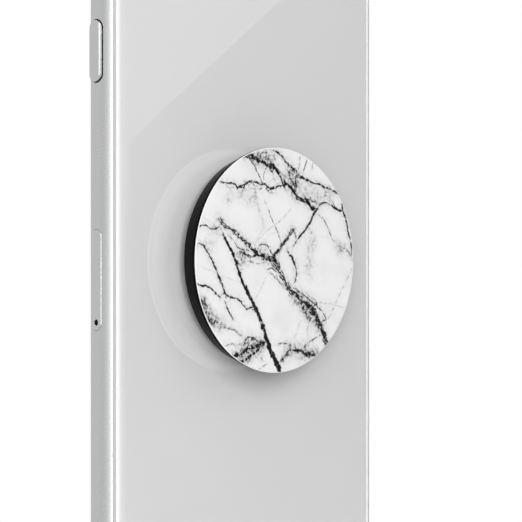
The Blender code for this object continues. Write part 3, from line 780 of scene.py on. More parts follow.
def tray_loop(inset, surface_lift, columns=24):
    """One loop round the tray's face, column by column; a lift of None gives its flat inner end."""
    half_width, half_length = TRAY_FACE[1] / 2 - inset, TRAY_FACE[0] / 2 - inset
    halves = []
    for sign in (1, -1):
        half = []
        for column in range(columns + 1):
            y = -half_width * cos(pi * column / columns)
            reach = half_length - half_width + sqrt(max(half_width**2 - y**2, 0.0))
            x = CAVITY_X + 0.3 if surface_lift is None else side_surface(y) + surface_lift
            half.append((x, y, TRAY_Z + sign * reach))
        halves.append(half)
    return halves[0] + halves[1][::-1]


def tray_head():
    """A stadium plug whose outer end is the band's round surface with a fine chamfer."""
    chamfer = 0.025
    loops = [tray_loop(chamfer, 0.0), tray_loop(0, -chamfer), tray_loop(0, None)]
    mesh = skinned(loops, capped=False)
    mesh.verts.ensure_lookup_table()
    count = len(loops[0])
    for column in range(count // 2 - 1):
        corners = (column, column + 1, count - 2 - column, count - 1 - column)
        mesh.faces.new([mesh.verts[n] for n in corners])
    mesh.faces.new([mesh.verts[2 * count + n] for n in range(count)])
    bmesh.ops.recalc_face_normals(mesh, faces=mesh.faces)
    return mesh


def add_tray(materials):
    """The tray's face follows the band's round side; behind it the plate holds the card in a pocket."""
    tray = new_piece("card_tray", tray_head(), materials["band_metal"])
    plate_z = TRAY_Z + 0.8
    plate = block((TRAY_LOW.x, SIDE_X - 1.9), (-0.6, 0.6), (plate_z - 6.95, plate_z + 6.95))
    combined(tray, "UNION", [plate])
    card_low, card_high = box_mm("sim_card")
    gap, ledge = 0.12, 0.9
    pocket = block(
        (card_low.x - gap, card_high.x + gap),
        (card_low.y - 0.06, 2),
        (card_low.z - gap, card_high.z + gap),
    )
    window = block(
        (card_low.x + ledge, card_high.x - ledge),
        (-2, 2),
        (card_low.z + ledge, card_high.z - ledge),
    )
    pinhole = skinned(
        [
            [(side_surface(0) + lift, y, up + PINHOLE_Z) for y, up in circle(radius, 32)]
            for lift, radius in ((-4, 0.5), (-0.14, 0.5), (0.02, 0.64), (2, 0.64))
        ]
    )
    combined(tray, "DIFFERENCE", [pocket, window, pinhole])
    follow_envelope(tray)
    attach(tray, "card_tray", "band_metal", "sim_tray")
    add_card(materials, card_low, card_high)


def add_card(materials, low, high):
    """A nano-size card with one cut corner and its gold contacts."""
    card_x, card_z = (low.x + high.x) / 2, (low.z + high.z) / 2
    half_x, half_z = (high.x - low.x) / 2, (high.z - low.z) / 2
    cut_corner = 1.65
    outline = [(half_x, half_z), (-half_x, half_z), (-half_x, -half_z)]
    outline += [(half_x - cut_corner, -half_z), (half_x, -half_z + cut_corner)]
    plate = moved(prism(outline, "Y", low.y, high.y - 0.03), x=card_x, z=card_z)
    card = new_piece("card", plate, materials["card_plastic"])
    soften(card, 0.08, 2)
    attach(card, "card_tray", "card_plastic", "sim_card")
    for row in range(3):
        for column in range(2):
            x = card_x + (column - 0.5) * 4.2
            z = card_z + (row - 1) * 3.3
            outline = rounded_rectangle(3.8, 3.0, 0.5, 4)
            pad = moved(prism(outline, "Y", high.y - 0.05, high.y - 0.01), x=x, z=z)
            contact = new_piece(f"card_contact_{row}_{column}", pad, materials["gold"])
            attach(contact, "card_tray", "card_plastic")


# The screen side


def add_screen_side(materials):
    top = KEY_LOW.y
    key_profile = [(0, KEY_HIGH.y), (HOME_KEY_RADIUS, KEY_HIGH.y), (HOME_KEY_RADIUS, top + 0.12)]
    key_profile += [(HOME_KEY_RADIUS - 0.04, top + 0.04), (HOME_KEY_RADIUS - 0.12, top), (0, top + 0.06)]
    key = new_piece("home_key_cap", moved(turned(key_profile), z=HOME_KEY_Z), materials["key_glass"])
    attach(key, "phone", "key_glass", "home_key")
    low, high = box_mm("home_key_ring")
    outer, inner = (high.x - low.x) / 2, HOME_KEY_RADIUS + 0.06
    ring_profile = [(inner, high.y), (outer, high.y), (outer, low.y + 0.06), (outer - 0.06, low.y)]
    ring_profile += [(inner + 0.2, low.y), (inner, low.y + 0.25)]
    ring = new_piece("home_key_bezel", moved(turned(ring_profile), z=HOME_KEY_Z), materials["polished_metal"])
    attach(ring, "phone", "steel", "home_key_ring")
    low, high = box_mm("earpiece_mesh")
    mesh = moved(prism(stadium(high.x - low.x, high.z - low.z, 12), "Y", low.y, high.y), z=EARPIECE_Z)
    grille = new_piece("earpiece_grille", mesh, materials["dark_mesh"])
    attach(grille, "phone", "dark_mesh", "earpiece_mesh")


# The back: camera and flash


def add_camera(materials):
    low, high = box_mm("camera_trim_ring")
    outer, inner = (high.x - low.x) / 2, 3.95
    profile = [(inner, low.y), (outer, low.y), (outer, high.y - 0.25)]
    profile += rounded_corner((outer - 0.25, high.y - 0.25), 0.25, 0, 90)
    profile += [(inner + 0.35, high.y), (inner + 0.05, high.y - 0.2), (inner, high.y - 0.26)]
    ring = new_piece("camera_ring", moved(turned(profile), CAMERA_X, 0, CAMERA_Z), materials["band_metal"])
    attach(ring, "phone", "band_metal", "camera_trim_ring")
    low, high = box_mm("camera_lens_cover")
    radius = (high.x - low.x) / 2
    profile = [(0, low.y), (radius, low.y), (radius, high.y - 0.05), (radius - 0.05, high.y), (0, high.y)]
    cover = new_piece("camera_window", moved(turned(profile), CAMERA_X, 0, CAMERA_Z), materials["lens_glass"])
    attach(cover, "phone", "lens_glass", "camera_lens_cover")
    add_lens_stack(materials)
    low, high = box_mm("flash_lens")
    radius = (high.x - low.x) / 2
    dome = [(radius * cos(radians(a)), high.y - 0.3 + 0.3 * sin(radians(a))) for a in range(0, 90, 15)]
    profile = [(0, low.y), (radius, low.y)] + dome + [(0, high.y)]
    lens = moved(turned(profile, steps=64), FLASH_X, 0, CAMERA_Z)
    flash = new_piece("flash_window", lens, materials["flash_glass"])
    attach(flash, "phone", "flash_glass", "flash_lens")


def add_lens_stack(materials):
    """The stepped black baffle and the domed front element behind the camera's window."""
    barrel_top = box_mm("rear_camera")[1].y
    module_top = 1.7
    steps = [(3.45, barrel_top), (2.9, barrel_top), (2.7, barrel_top - 0.25), (2.1, barrel_top - 0.3)]
    steps += [(1.9, barrel_top - 0.55), (1.45, barrel_top - 0.6)]
    steps += [(1.45, module_top + 0.1), (3.45, module_top + 0.1)]
    baffle = new_piece("lens_baffle", moved(turned(steps), CAMERA_X, 0, CAMERA_Z), materials["black_plastic"])
    attach(baffle, "phone", "black_plastic")
    dome = [(1.42 * cos(radians(a)), barrel_top - 1.1 + 0.4 * sin(radians(a))) for a in range(0, 90, 10)]
    profile = [(0, barrel_top - 1.3), (1.42, barrel_top - 1.3)] + dome + [(0, barrel_top - 0.7)]
    glass = moved(turned(profile), CAMERA_X, 0, CAMERA_Z)
    element = new_piece("lens_element", glass, materials["lens_coating"])
    attach(element, "phone", "lens_glass")
    housing_low, housing_high = box_mm("rear_camera")
    housing = block(
        (housing_low.x, housing_high.x), (housing_low.y, module_top), (housing_low.z, housing_high.z)
    )
    body = new_piece("camera_housing", housing, materials["black_plastic"])
    soften(body, 0.3)
    attach(body, "phone", "black_plastic", "rear_camera")


# The bottom edge


def add_port(materials):
    low, high = box_mm("charge_port")
    rings = [[(x, y, z) for x, y in stadium(9.1, 3.3, 12)] for z in (low.z, high.z)]
    shell = new_piece("port_shell", skinned(rings), materials["steel"])
    mouth = [
        [(x, y, z) for x, y in stadium(8.4 + 2 * grow, 2.6 + 2 * grow, 12)]
        for grow, z in ((0.15, -1), (0.15, low.z - 0.01), (0.0, low.z + 0.2), (0.0, 7.8))
    ]
    combined(shell, "DIFFERENCE", [skinned(mouth)])
    attach(shell, "phone", "steel", "charge_port")
    low, high = box_mm("charge_port_tongue")
    tongue = new_piece(
        "port_tongue", block((low.x, high.x), (low.y, high.y), (low.z, high.z)), materials["black_plastic"]
    )
    soften(tongue, 0.12)
    attach(tongue, "phone", "black_plastic", "charge_port_tongue")
    for side in (1, -1):
        for n in range(8):
            x = (n - 3.5) * 0.75
            y_range = sorted((side * 0.35, side * 0.37))
            pad = new_piece(
                f"port_contact_{n}_{'back' if side > 0 else 'front'}",
                block((x - 0.2, x + 0.2), y_range, (low.z + 0.35, low.z + 3.2)),
                materials["gold"],
            )
            attach(pad, "phone", "steel")
    for node, x in (("bottom_screw_right", SCREW_X), ("bottom_screw_left", -SCREW_X)):
        low, high = box_mm(node)
        profile = [(0, low.z), (0.7, low.z), (0.85, low.z + 0.12), (0.85, low.z + 0.7), (0.5, low.z + 0.8)]
        profile += [(0.5, high.z), (0, high.z)]
        screw = new_piece(f"case_{node}", moved(turned(profile, "Z", 48), x=x), materials["steel"])
        slots = [
            moved(block((-0.5, 0.5), (-0.1, 0.1), (0.1, low.z + 0.35)), x=x),
            moved(block((-0.1, 0.1), (-0.5, 0.5), (0.09, low.z + 0.34)), x=x),
        ]
        combined(screw, "DIFFERENCE", slots)
        attach(screw, "phone", "steel", node)


# The grip


def grip_piece(name, profile, material, body, slot, *nodes, steps=192):
    """A turned piece of the grip; profile heights count from the rear glass."""
    raised = [(radius, height + BACK_Y) for radius, height in profile]
    piece = new_piece(name, moved(turned(raised, steps=steps), z=GRIP_Z), material)
    return attach(piece, body, slot, *nodes)


def add_grip(materials):
    black, slot = materials["grip_black"], "grip_black"
    pad = [(0, 0.05), (16.05, 0.05), (16.2, 0.2), (16.2, 0.6), (16.05, 0.75), (0, 0.75)]
    grip_piece("grip_pad", pad, materials["adhesive"], "phone", "adhesive", "grip_adhesive_pad")
    base = [(0, 0.8), (16.3, 0.8), (16.6, 0.86), (17.7, 1.5), (17.8, 1.62)]
    base += [(17.8, 1.75), (17.7, 1.85), (17.2, 1.85), (17.1, 1.78), (0, 1.78)]
    grip_piece("grip_platform", base, black, "phone", slot, "grip_base")
    add_bellows(materials)
    roof, lip = CAP_HIGH.y - BACK_Y - 1.0, CAP_HIGH.y - BACK_Y
    rear, rear_radius, lip_radius = CAP_LOW.y - BACK_Y, 18.9, 19.92
    cap = [(0, roof), (9.4, roof), (9.4, 4.15), (9.5, 4.1), (10.9, 4.1), (11.0, 4.15), (11.0, roof)]
    cap += [(18.2, roof), (17.6, rear + 0.1), (17.7, rear)]
    cap += rounded_corner((rear_radius - 0.16, rear + 0.16), 0.16, -90, -15)
    cap += [(19.72, 5.18), (19.74, 5.24), (19.74, 5.27), (19.84, 5.3)]
    cap += rounded_corner((lip_radius - 0.06, 5.36), 0.06, -90, 0, 3)
    cap += rounded_corner((lip_radius - 0.06, lip - 0.06), 0.06, 0, 90, 3) + [(0, lip)]
    grip_piece("grip_shell", cap, black, "grip_top", slot, "grip_cap")
    edge_low, edge_high = INSERT_LOW.y - BACK_Y, INSERT_HIGH.y - BACK_Y - INSERT_BEVEL + 0.02
    edge = [(INSERT_WALL - 0.02, edge_low), (GRIP_RADIUS - 0.03, edge_low), (GRIP_RADIUS, edge_low + 0.03)]
    edge += [(GRIP_RADIUS, edge_high), (INSERT_WALL - 0.02, edge_high)]
    grip_piece("grip_black_edge", edge, black, "grip_top", slot)
    add_marble(materials)


WALLS = (
    ("lower", "phone", "grip_lower_ring", (16.9, 2.0), (11.75, 2.66)),
    ("middle", "grip_lower_ring", "grip_upper_ring", (11.55, 2.78), (16.05, 3.45)),
    ("upper", "grip_upper_ring", "grip_top", (15.95, 3.55), (11.1, 4.35)),
)
WALL_STEPS = 20
WALL_THICKNESS = 0.05


def add_bellows(materials):
    """Three thin walls, each a fixed cone between two rings of the bellows, and the two crease rings between
    them.
    """
    for name, body, next_body, (radius_a, height_a), (radius_b, height_b) in WALLS:
        line = []
        for step in range(WALL_STEPS + 1):
            share = step / WALL_STEPS
            line.append((radius_a + (radius_b - radius_a) * share, height_a + (height_b - height_a) * share))
        profile = line + [(radius, height + WALL_THICKNESS) for radius, height in reversed(line)]
        raised = [(radius, height + BACK_Y) for radius, height in profile]
        fold = moved(turned(raised, steps=128), z=GRIP_Z)
        wall = new_piece(f"bellows_fold_{name}", fold, materials["bellows_black"], 1.5)
        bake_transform(wall)
        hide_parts(f"bellows_wall_{name}")
    for name, body, inner, outer, low, high in (
        ("lower", "grip_lower_ring", 10.4, 11.65, 2.3, 2.85),
        ("upper", "grip_upper_ring", 15.95, 17.1, 3.1, 3.65),
    ):
        radius = (high - low) / 2
        middle = (low + high) / 2
        profile = rounded_corner((outer - radius, middle), radius, -90, 90, 8)
        profile += rounded_corner((inner + radius, middle), radius, 90, 270, 8)
        grip_piece(
            f"bellows_crease_{name}", profile, materials["bellows_black"], body, "bellows_black",
            f"bellows_ring_{name}", steps=128,
        )


# The marble print

# Points are (right, up) with the rim at 1, as the disc looks from the corner of the phone that the camera
# faces; on_disc() turns them into places on the flat face.
# Each vein: its points, how many strands it is woven from and how far they wander (mm), the half width
# of a strand at the two ends (mm), how dark it is, how much haze surrounds it, how jagged it runs (mm)
VEINS = (
    # The long straight vein that thickens towards the bottom, with its short side spikes
    ("-.64 .23 -.57 .14 -.50 .04 -.45 -.07 -.39 -.19 -.32 -.29 -.25 -.39 "
     "-.19 -.49 -.13 -.60 -.085 -.72 -.02 -.83 .04 -.92 .085 -1",
     2, 0.05, 0.11, 0.36, 1.0, 0.35, 0.07),
    ("-.10 -.66 -.05 -.77 .01 -.88 .06 -.97", 2, 0.12, 0.08, 0.26, 0.9, 0.2, 0.08),
    ("-.50 .03 -.46 -.02 -.41 -.03", 1, 0.0, 0.07, 0.03, 0.8, 0.3, 0.12),
    ("-.45 -.04 -.43 -.08 -.38 -.08", 1, 0.0, 0.06, 0.03, 0.8, 0.2, 0.12),
    # The braided vein from the upper left through the middle to the lower right
    ("-.68 .38 -.60 .31 -.50 .26 -.39 .19 -.30 .13 -.22 .08 -.14 .04 -.05 .01 .02 .01",
     3, 0.30, 0.03, 0.10, 1.0, 0.7, 0.16),
    ("-.57 .22 -.50 .17 -.43 .11 -.35 .09 -.27 .10", 1, 0.0, 0.05, 0.05, 0.7, 0.4, 0.14),
    ("0 .02 .04 -.04 .06 -.09 .12 -.16 .19 -.23 .27 -.30 .36 -.35", 3, 0.36, 0.05, 0.07, 1.0, 0.8, 0.18),
    ("-.03 0 .03 -.08 .10 -.15 .17 -.24 .24 -.31", 2, 0.2, 0.05, 0.06, 0.9, 0.4, 0.16),
    ("-.02 .03 .01 0 .03 -.04", 2, 0.2, 0.22, 0.16, 1.0, 0.5, 0.1),
    ("-.14 .05 -.08 .02 -.01 0", 2, 0.15, 0.12, 0.15, 1.0, 0.4, 0.1),
    ("-.24 .11 -.21 .07 -.17 .04", 1, 0.0, 0.16, 0.1, 1.0, 0.3, 0.12),
    ("-.20 .10 -.16 .14 -.08 .13 -.04 .08 0 .04", 1, 0.0, 0.05, 0.06, 0.85, 0.3, 0.08),
    ("-.45 .07 -.37 .06 -.30 .03 -.20 .05 -.12 .03", 2, 0.14, 0.05, 0.08, 0.95, 0.5, 0.12),
    ("-.44 -.04 -.33 -.01 -.20 -.03 -.10 -.02 -.03 -.06", 1, 0.0, 0.03, 0.04, 0.5, 0.5, 0.12),
    ("-.08 -.08 -.02 -.07 .04 -.11", 1, 0.0, 0.05, 0.05, 0.85, 0.3, 0.1),
    ("-.39 .06 -.40 0 -.37 -.03", 1, 0.0, 0.06, 0.03, 0.8, 0.3, 0.12),
    ("-.33 .05 -.30 .01 -.28 -.01", 1, 0.0, 0.05, 0.03, 0.8, 0.3, 0.12),
    # The braid's heavy lower part
    (".33 -.33 .41 -.39 .48 -.44 .555 -.53 .62 -.64 .68 -.78", 3, 0.45, 0.06, 0.08, 1.0, 1.0, 0.2),
    (".50 -.46 .56 -.55 .62 -.65 .675 -.77", 2, 0.16, 0.14, 0.24, 1.0, 0.5, 0.12),
    (".28 -.36 .35 -.41 .40 -.47 .45 -.54", 2, 0.3, 0.05, 0.05, 0.85, 0.7, 0.2),
    ("-.02 -.12 .07 -.19 .14 -.24 .2 -.32 .27 -.36", 1, 0.0, 0.03, 0.04, 0.5, 0.4, 0.14),
    ("-.06 -.09 .03 -.16 .13 -.22", 1, 0.0, 0.03, 0.03, 0.55, 0.3, 0.14),
    ("-.05 -.02 .02 -.1 .07 -.2 .16 -.26", 1, 0.0, 0.03, 0.03, 0.5, 0.3, 0.12),
    ("-.16 .03 -.13 .01 -.09 .0", 1, 0.0, 0.05, 0.05, 0.8, 0.3, 0.12),
    # The short fork with a looped end, right of the middle
    ("0 .02 .06 .08 .11 .14 .17 .21 .23 .28", 3, 0.30, 0.06, 0.05, 1.0, 0.6, 0.16),
    (".23 .28 .26 .25 .28 .20 .285 .17", 1, 0.0, 0.05, 0.03, 0.8, 0.5, 0.14),
    ("0 .02 .08 .11 .15 .18 .20 .24 .25 .28 .26 .25", 2, 0.2, 0.05, 0.05, 0.9, 0.4, 0.14),
    ("-.01 .02 .05 .09 .10 .15", 1, 0.0, 0.12, 0.06, 0.95, 0.3, 0.1),
    ("-.07 .46 -.02 .36 .04 .27 .09 .17 .10 .14", 1, 0.0, 0.03, 0.05, 0.7, 0.2, 0.07),
    ("-.12 .54 -.07 .46", 1, 0.0, 0.04, 0.03, 0.4, 0.3, 0.08),
    ("-.24 .64 -.21 .54 -.18 .44 -.13 .33 -.13 .28", 1, 0.0, 0.03, 0.03, 0.45, 0.5, 0.1),
    ("-.13 .28 -.20 .20 -.25 .13", 1, 0.0, 0.02, 0.02, 0.35, 0.2, 0.08),
    ("-.22 .16 -.12 .24 -.02 .30 .07 .34 .15 .40 .22 .46", 1, 0.0, 0.03, 0.02, 0.4, 0.2, 0.1),
    ("-.22 .07 -.15 .15 -.04 .23 .06 .25", 1, 0.0, 0.02, 0.02, 0.25, 0.2, 0.1),
    # From the top rim down to the knot on the right and back to the middle
    ("-.37 .93 -.30 .925 -.22 .905 -.13 .875 -.05 .84 .03 .81", 4, 0.30, 0.07, 0.10, 1.0, 0.8, 0.16),
    ("-.16 .89 -.09 .86 -.03 .82", 2, 0.16, 0.12, 0.16, 1.0, 0.5, 0.1),
    ("-.06 .84 .03 .81 .07 .77 .10 .73 .12 .67 .15 .64", 2, 0.16, 0.08, 0.08, 1.0, 0.6, 0.12),
    ("0 .82 .06 .77 .09 .72", 1, 0.0, 0.16, 0.10, 1.0, 0.5, 0.1),
    ("-.17 .93 -.12 .96 -.06 .94 -.07 .90 -.13 .90", 1, 0.0, 0.05, 0.05, 0.75, 0.5, 0.12),
    ("-.24 .93 -.18 .90 -.10 .92", 1, 0.0, 0.05, 0.04, 0.7, 0.5, 0.14),
    ("-.31 .91 -.24 .84 -.19 .76 -.13 .68", 1, 0.0, 0.06, 0.04, 0.85, 0.2, 0.08),
    ("-.08 .84 -.12 .77 -.13 .69", 1, 0.0, 0.04, 0.04, 0.7, 0.2, 0.08),
    ("-.05 .83 -.01 .77 .02 .70", 1, 0.0, 0.04, 0.03, 0.6, 0.3, 0.08),
    ("-.07 .84 -.03 .79 .02 .82", 1, 0.0, 0.07, 0.05, 0.9, 0.2, 0.06),
    ("-.06 .94 -.04 .87 .02 .84 .09 .78 .17 .72 .21 .66", 1, 0.0, 0.03, 0.03, 0.5, 0.5, 0.14),
    ("-.12 .67 .0 .72 .08 .70 .15 .65 .20 .60 .24 .57", 1, 0.0, 0.02, 0.03, 0.3, 0.4, 0.14),
    ("-.68 .70 -.66 .693 -.57 .688 -.50 .679 -.45 .649 -.385 .657 -.323 .69 -.247 .697 -.197 .69 -.16 .666",
     2, 0.08, 0.05, 0.09, 1.0, 0.4, 0.14),
    ("-.16 .666 -.11 .675 -.06 .649 0 .64 .053 .661 .116 .666 .153 .675 .20 .66",
     2, 0.08, 0.08, 0.07, 1.0, 0.4, 0.14),
    ("-.35 .69 -.29 .70 -.24 .67", 1, 0.0, 0.08, 0.09, 1.0, 0.3, 0.12),
    ("-.10 .64 -.07 .62 -.02 .64", 1, 0.0, 0.09, 0.07, 1.0, 0.3, 0.12),
    ("-.22 .66 -.17 .63 -.12 .67", 1, 0.0, 0.04, 0.04, 0.7, 0.4, 0.14),
    ("-.62 .70 -.55 .64 -.50 .66", 1, 0.0, 0.03, 0.03, 0.5, 0.4, 0.14),
    ("-.01 .66 -.02 .60 .03 .60", 1, 0.0, 0.03, 0.02, 0.6, 0.3, 0.12),
    ("-.34 .70 -.29 .64 -.23 .63 -.22 .56", 1, 0.0, 0.03, 0.02, 0.5, 0.5, 0.14),
    ("-.23 .66 -.24 .58 -.22 .52", 1, 0.0, 0.03, 0.02, 0.5, 0.6, 0.12),
    ("-.08 .65 -.05 .60 -.03 .64", 1, 0.0, 0.03, 0.02, 0.5, 0.4, 0.12),
    ("-.15 .69 -.14 .64", 1, 0.0, 0.06, 0.04, 0.9, 0.3, 0.1),
    ("-.38 .70 -.30 .68", 1, 0.0, 0.05, 0.05, 0.8, 0.3, 0.14),
    ("-.64 .22 -.66 .28 -.68 .36", 1, 0.0, 0.04, 0.03, 0.45, 0.4, 0.12),
    ("-.66 .28 -.63 .24 -.58 .17", 1, 0.0, 0.08, 0.05, 0.75, 0.4, 0.12),
    (".11 .72 .155 .69 .19 .665 .23 .64 .25 .61 .28 .575", 2, 0.16, 0.10, 0.12, 1.0, 0.6, 0.12),
    (".20 .63 .26 .60 .29 .64 .31 .70", 1, 0.0, 0.07, 0.04, 0.75, 0.6, 0.16),
    (".26 .59 .30 .555 .35 .545 .40 .53 .44 .50 .48 .47 .54 .455", 3, 0.26, 0.07, 0.10, 1.0, 0.8, 0.16),
    (".33 .55 .39 .53 .44 .50 .48 .47 .52 .44", 2, 0.12, 0.13, 0.15, 1.0, 0.4, 0.1),
    (".55 .46 .52 .43 .495 .40 .466 .356 .416 .294 .379 .259 .304 .197 .25 .13",
     2, 0.09, 0.14, 0.05, 1.0, 0.4, 0.08),
    (".45 .33 .416 .294 .379 .259", 1, 0.0, 0.12, 0.08, 1.0, 0.3, 0.08),
    # The right side of the upper half
    ("-.01 .98 .08 .95 .13 .90 .19 .845 .24 .815 .29 .79", 2, 0.12, 0.08, 0.07, 1.0, 0.5, 0.12),
    (".05 .95 .02 .90 .0 .94", 1, 0.0, 0.04, 0.03, 0.6, 0.4, 0.1),
    (".19 .83 .20 .76 .24 .70 .26 .64", 1, 0.0, 0.03, 0.03, 0.6, 0.7, 0.16),
    (".21 .81 .27 .79 .29 .76 .29 .69 .26 .63 .22 .60", 2, 0.2, 0.05, 0.04, 0.8, 0.6, 0.16),
    (".31 .765 .35 .735 .40 .715 .48 .693 .58 .672 .64 .65 .70 .632 .77 .61 .82 .585",
     2, 0.1, 0.09, 0.06, 1.0, 0.5, 0.12),
    (".33 .75 .37 .725 .43 .705", 1, 0.0, 0.14, 0.08, 1.0, 0.3, 0.08),
    (".33 .92 .32 .85 .30 .78", 1, 0.0, 0.05, 0.03, 0.65, 0.3, 0.06),
    (".42 .90 .39 .83 .36 .77", 1, 0.0, 0.06, 0.04, 0.85, 0.2, 0.06),
    (".49 .86 .48 .81", 1, 0.0, 0.08, 0.04, 0.9, 0.2, 0.04),
    (".34 .54 .40 .55 .48 .53 .56 .50", 1, 0.0, 0.04, 0.05, 0.8, 0.5, 0.12),
    (".54 .45 .565 .48 .60 .505 .66 .512 .70 .50", 1, 0.0, 0.05, 0.05, 0.85, 0.5, 0.1),
    (".65 .60 .62 .54 .62 .49", 1, 0.0, 0.03, 0.03, 0.45, 0.6, 0.14),
    (".70 .50 .73 .489 .765 .463 .80 .455 .83 .445 .87 .44", 2, 0.08, 0.07, 0.10, 1.0, 0.4, 0.1),
    (".742 .516 .767 .47 .79 .455", 1, 0.0, 0.05, 0.09, 1.0, 0.2, 0.08),
    (".855 .50 .867 .441 .905 .356 .93 .268 .955 .18 .972 .12 .98 .04", 2, 0.05, 0.10, 0.06, 1.0, 0.5, 0.06),
    (".55 .41 .63 .356 .68 .285 .717 .214 .76 .17 .80 .144", 1, 0.0, 0.05, 0.04, 0.65, 0.4, 0.1),
    (".79 .15 .85 .12 .905 .10 .95 .06 .985 .02", 2, 0.14, 0.03, 0.04, 0.6, 0.7, 0.14),
    (".42 .31 .47 .25 .50 .18 .47 .12", 1, 0.0, 0.03, 0.02, 0.45, 0.6, 0.14),
    (".44 .11 .45 .0 .42 -.08 .46 -.16", 1, 0.0, 0.02, 0.02, 0.3, 0.8, 0.2),
    (".58 .22 .70 .20 .78 .22", 1, 0.0, 0.02, 0.02, 0.18, 0.3, 0.1),
    (".17 .10 .20 .05 .25 -.01 .28 -.08 .28 -.14 .26 -.20", 2, 0.16, 0.07, 0.04, 0.9, 0.5, 0.1),
    (".21 .05 .25 0 .27 -.06", 1, 0.0, 0.12, 0.06, 0.95, 0.4, 0.06),
    (".24 -.2 .22 -.27 .24 -.34", 1, 0.0, 0.03, 0.02, 0.5, 0.3, 0.1),
    # Left
    ("-.97 .30 -.90 .31 -.84 .31 -.79 .28 -.73 .28 -.68 .30", 1, 0.0, 0.06, 0.08, 0.95, 0.3, 0.12),
    ("-.95 .15 -.88 .13 -.84 .09 -.80 .03 -.75 -.04 -.70 -.12 -.66 -.18 -.63 -.25 -.60 -.30",
     2, 0.08, 0.05, 0.08, 1.0, 0.4, 0.08),
    ("-.74 -.05 -.70 -.13 -.66 -.21", 1, 0.0, 0.10, 0.08, 1.0, 0.2, 0.08),
    ("-.62 -.28 -.57 -.32 -.50 -.33 -.44 -.35 -.38 -.40 -.33 -.43 -.29 -.42 -.24 -.41",
     2, 0.08, 0.06, 0.06, 1.0, 0.4, 0.14),
    ("-.96 -.21 -.90 -.225 -.83 -.23 -.77 -.26 -.72 -.30 -.67 -.33", 2, 0.06, 0.08, 0.06, 1.0, 0.3, 0.1),
    ("-.66 -.31 -.61 -.29 -.60 -.34", 1, 0.0, 0.06, 0.05, 0.8, 0.5, 0.12),
    ("-.61 -.36 -.58 -.42 -.55 -.47 -.51 -.53", 2, 0.07, 0.04, 0.07, 0.9, 0.4, 0.08),
    ("-.96 -.04 -.80 -.09 -.64 -.14 -.44 -.19", 1, 0.0, 0.02, 0.02, 0.25, 0.2, 0.06),
    ("-.30 -.42 -.24 -.38 -.26 -.44", 1, 0.0, 0.09, 0.06, 0.9, 0.4, 0.1),
    ("-.24 -.36 -.16 -.25 -.08 -.12", 1, 0.0, 0.03, 0.02, 0.3, 0.2, 0.06),
    ("-.93 .40 -.80 .35 -.68 .27", 1, 0.0, 0.02, 0.02, 0.22, 0.2, 0.06),
    # Lower left
    ("-.80 -.56 -.70 -.56 -.60 -.60 -.48 -.62 -.40 -.67", 2, 0.14, 0.03, 0.04, 0.6, 0.7, 0.14),
    ("-.33 -.68 -.27 -.69 -.20 -.72 -.13 -.74", 2, 0.14, 0.04, 0.04, 0.75, 0.5, 0.12),
    ("-.10 -.725 -.15 -.735 -.22 -.76 -.30 -.78 -.37 -.81 -.45 -.845 -.53 -.88",
     2, 0.24, 0.05, 0.07, 1.0, 0.9, 0.14),
    ("-.11 -.735 -.17 -.775 -.24 -.82 -.31 -.865 -.38 -.895 -.44 -.93", 2, 0.2, 0.05, 0.08, 1.0, 0.8, 0.12),
    ("-.37 -.75 -.34 -.70 -.31 -.68 -.27 -.70 -.31 -.73 -.36 -.74", 1, 0.0, 0.06, 0.06, 0.95, 0.5, 0.1),
    ("-.31 -.70 -.33 -.76 -.38 -.81", 1, 0.0, 0.05, 0.04, 0.85, 0.5, 0.12),
    ("-.26 -.71 -.24 -.77 -.28 -.84", 1, 0.0, 0.03, 0.03, 0.6, 0.6, 0.14),
    ("-.62 -.765 -.55 -.75 -.48 -.755 -.42 -.75 -.35 -.765", 1, 0.0, 0.03, 0.03, 0.65, 0.4, 0.22),
    ("-.21 -.98 -.14 -.95 -.09 -.92", 1, 0.0, 0.04, 0.03, 0.65, 0.3, 0.08),
    ("-.16 -.86 -.13 -.90", 1, 0.0, 0.05, 0.03, 0.7, 0.3, 0.1),
    ("-.10 -.74 -.06 -.73", 1, 0.0, 0.03, 0.03, 0.6, 0.3, 0.1),
    # Lower right
    (".09 -.90 .15 -.85 .21 -.81 .29 -.80 .37 -.81 .44 -.83 .52 -.83", 2, 0.2, 0.05, 0.06, 0.95, 0.9, 0.16),
    (".12 -.86 .18 -.84 .20 -.79", 1, 0.0, 0.04, 0.03, 0.7, 0.5, 0.12),
    (".34 -.80 .42 -.85 .48 -.85 .54 -.83", 2, 0.16, 0.07, 0.05, 1.0, 0.6, 0.12),
    (".05 -.74 .14 -.74 .22 -.76 .30 -.79 .37 -.79", 1, 0.0, 0.05, 0.04, 0.75, 0.4, 0.22),
    (".39 -.77 .44 -.73 .48 -.71 .55 -.68 .61 -.66", 1, 0.0, 0.05, 0.04, 0.75, 0.4, 0.14),
    (".46 -.72 .43 -.78 .41 -.84", 1, 0.0, 0.03, 0.03, 0.55, 0.4, 0.12),
    (".33 -.53 .31 -.60 .28 -.66 .25 -.72", 1, 0.0, 0.02, 0.02, 0.35, 0.4, 0.14),
    (".45 -.53 .42 -.62 .44 -.68", 1, 0.0, 0.03, 0.02, 0.4, 0.5, 0.14),
    (".23 -.24 .30 -.27 .38 -.31 .45 -.36 .50 -.38 .56 -.42 .62 -.47 .65 -.52 .60 -.55",
     1, 0.0, 0.04, 0.06, 0.9, 0.4, 0.14),
    (".42 -.33 .48 -.37 .54 -.38 .50 -.41", 1, 0.0, 0.05, 0.08, 0.95, 0.4, 0.1),
    (".40 -.29 .50 -.35 .60 -.38 .72 -.39 .87 -.42", 1, 0.0, 0.03, 0.02, 0.4, 0.4, 0.12),
    (".98 -.07 .92 -.17 .86 -.25 .80 -.34 .74 -.44 .66 -.55 .60 -.62", 1, 0.0, 0.03, 0.03, 0.4, 0.3, 0.1),
)
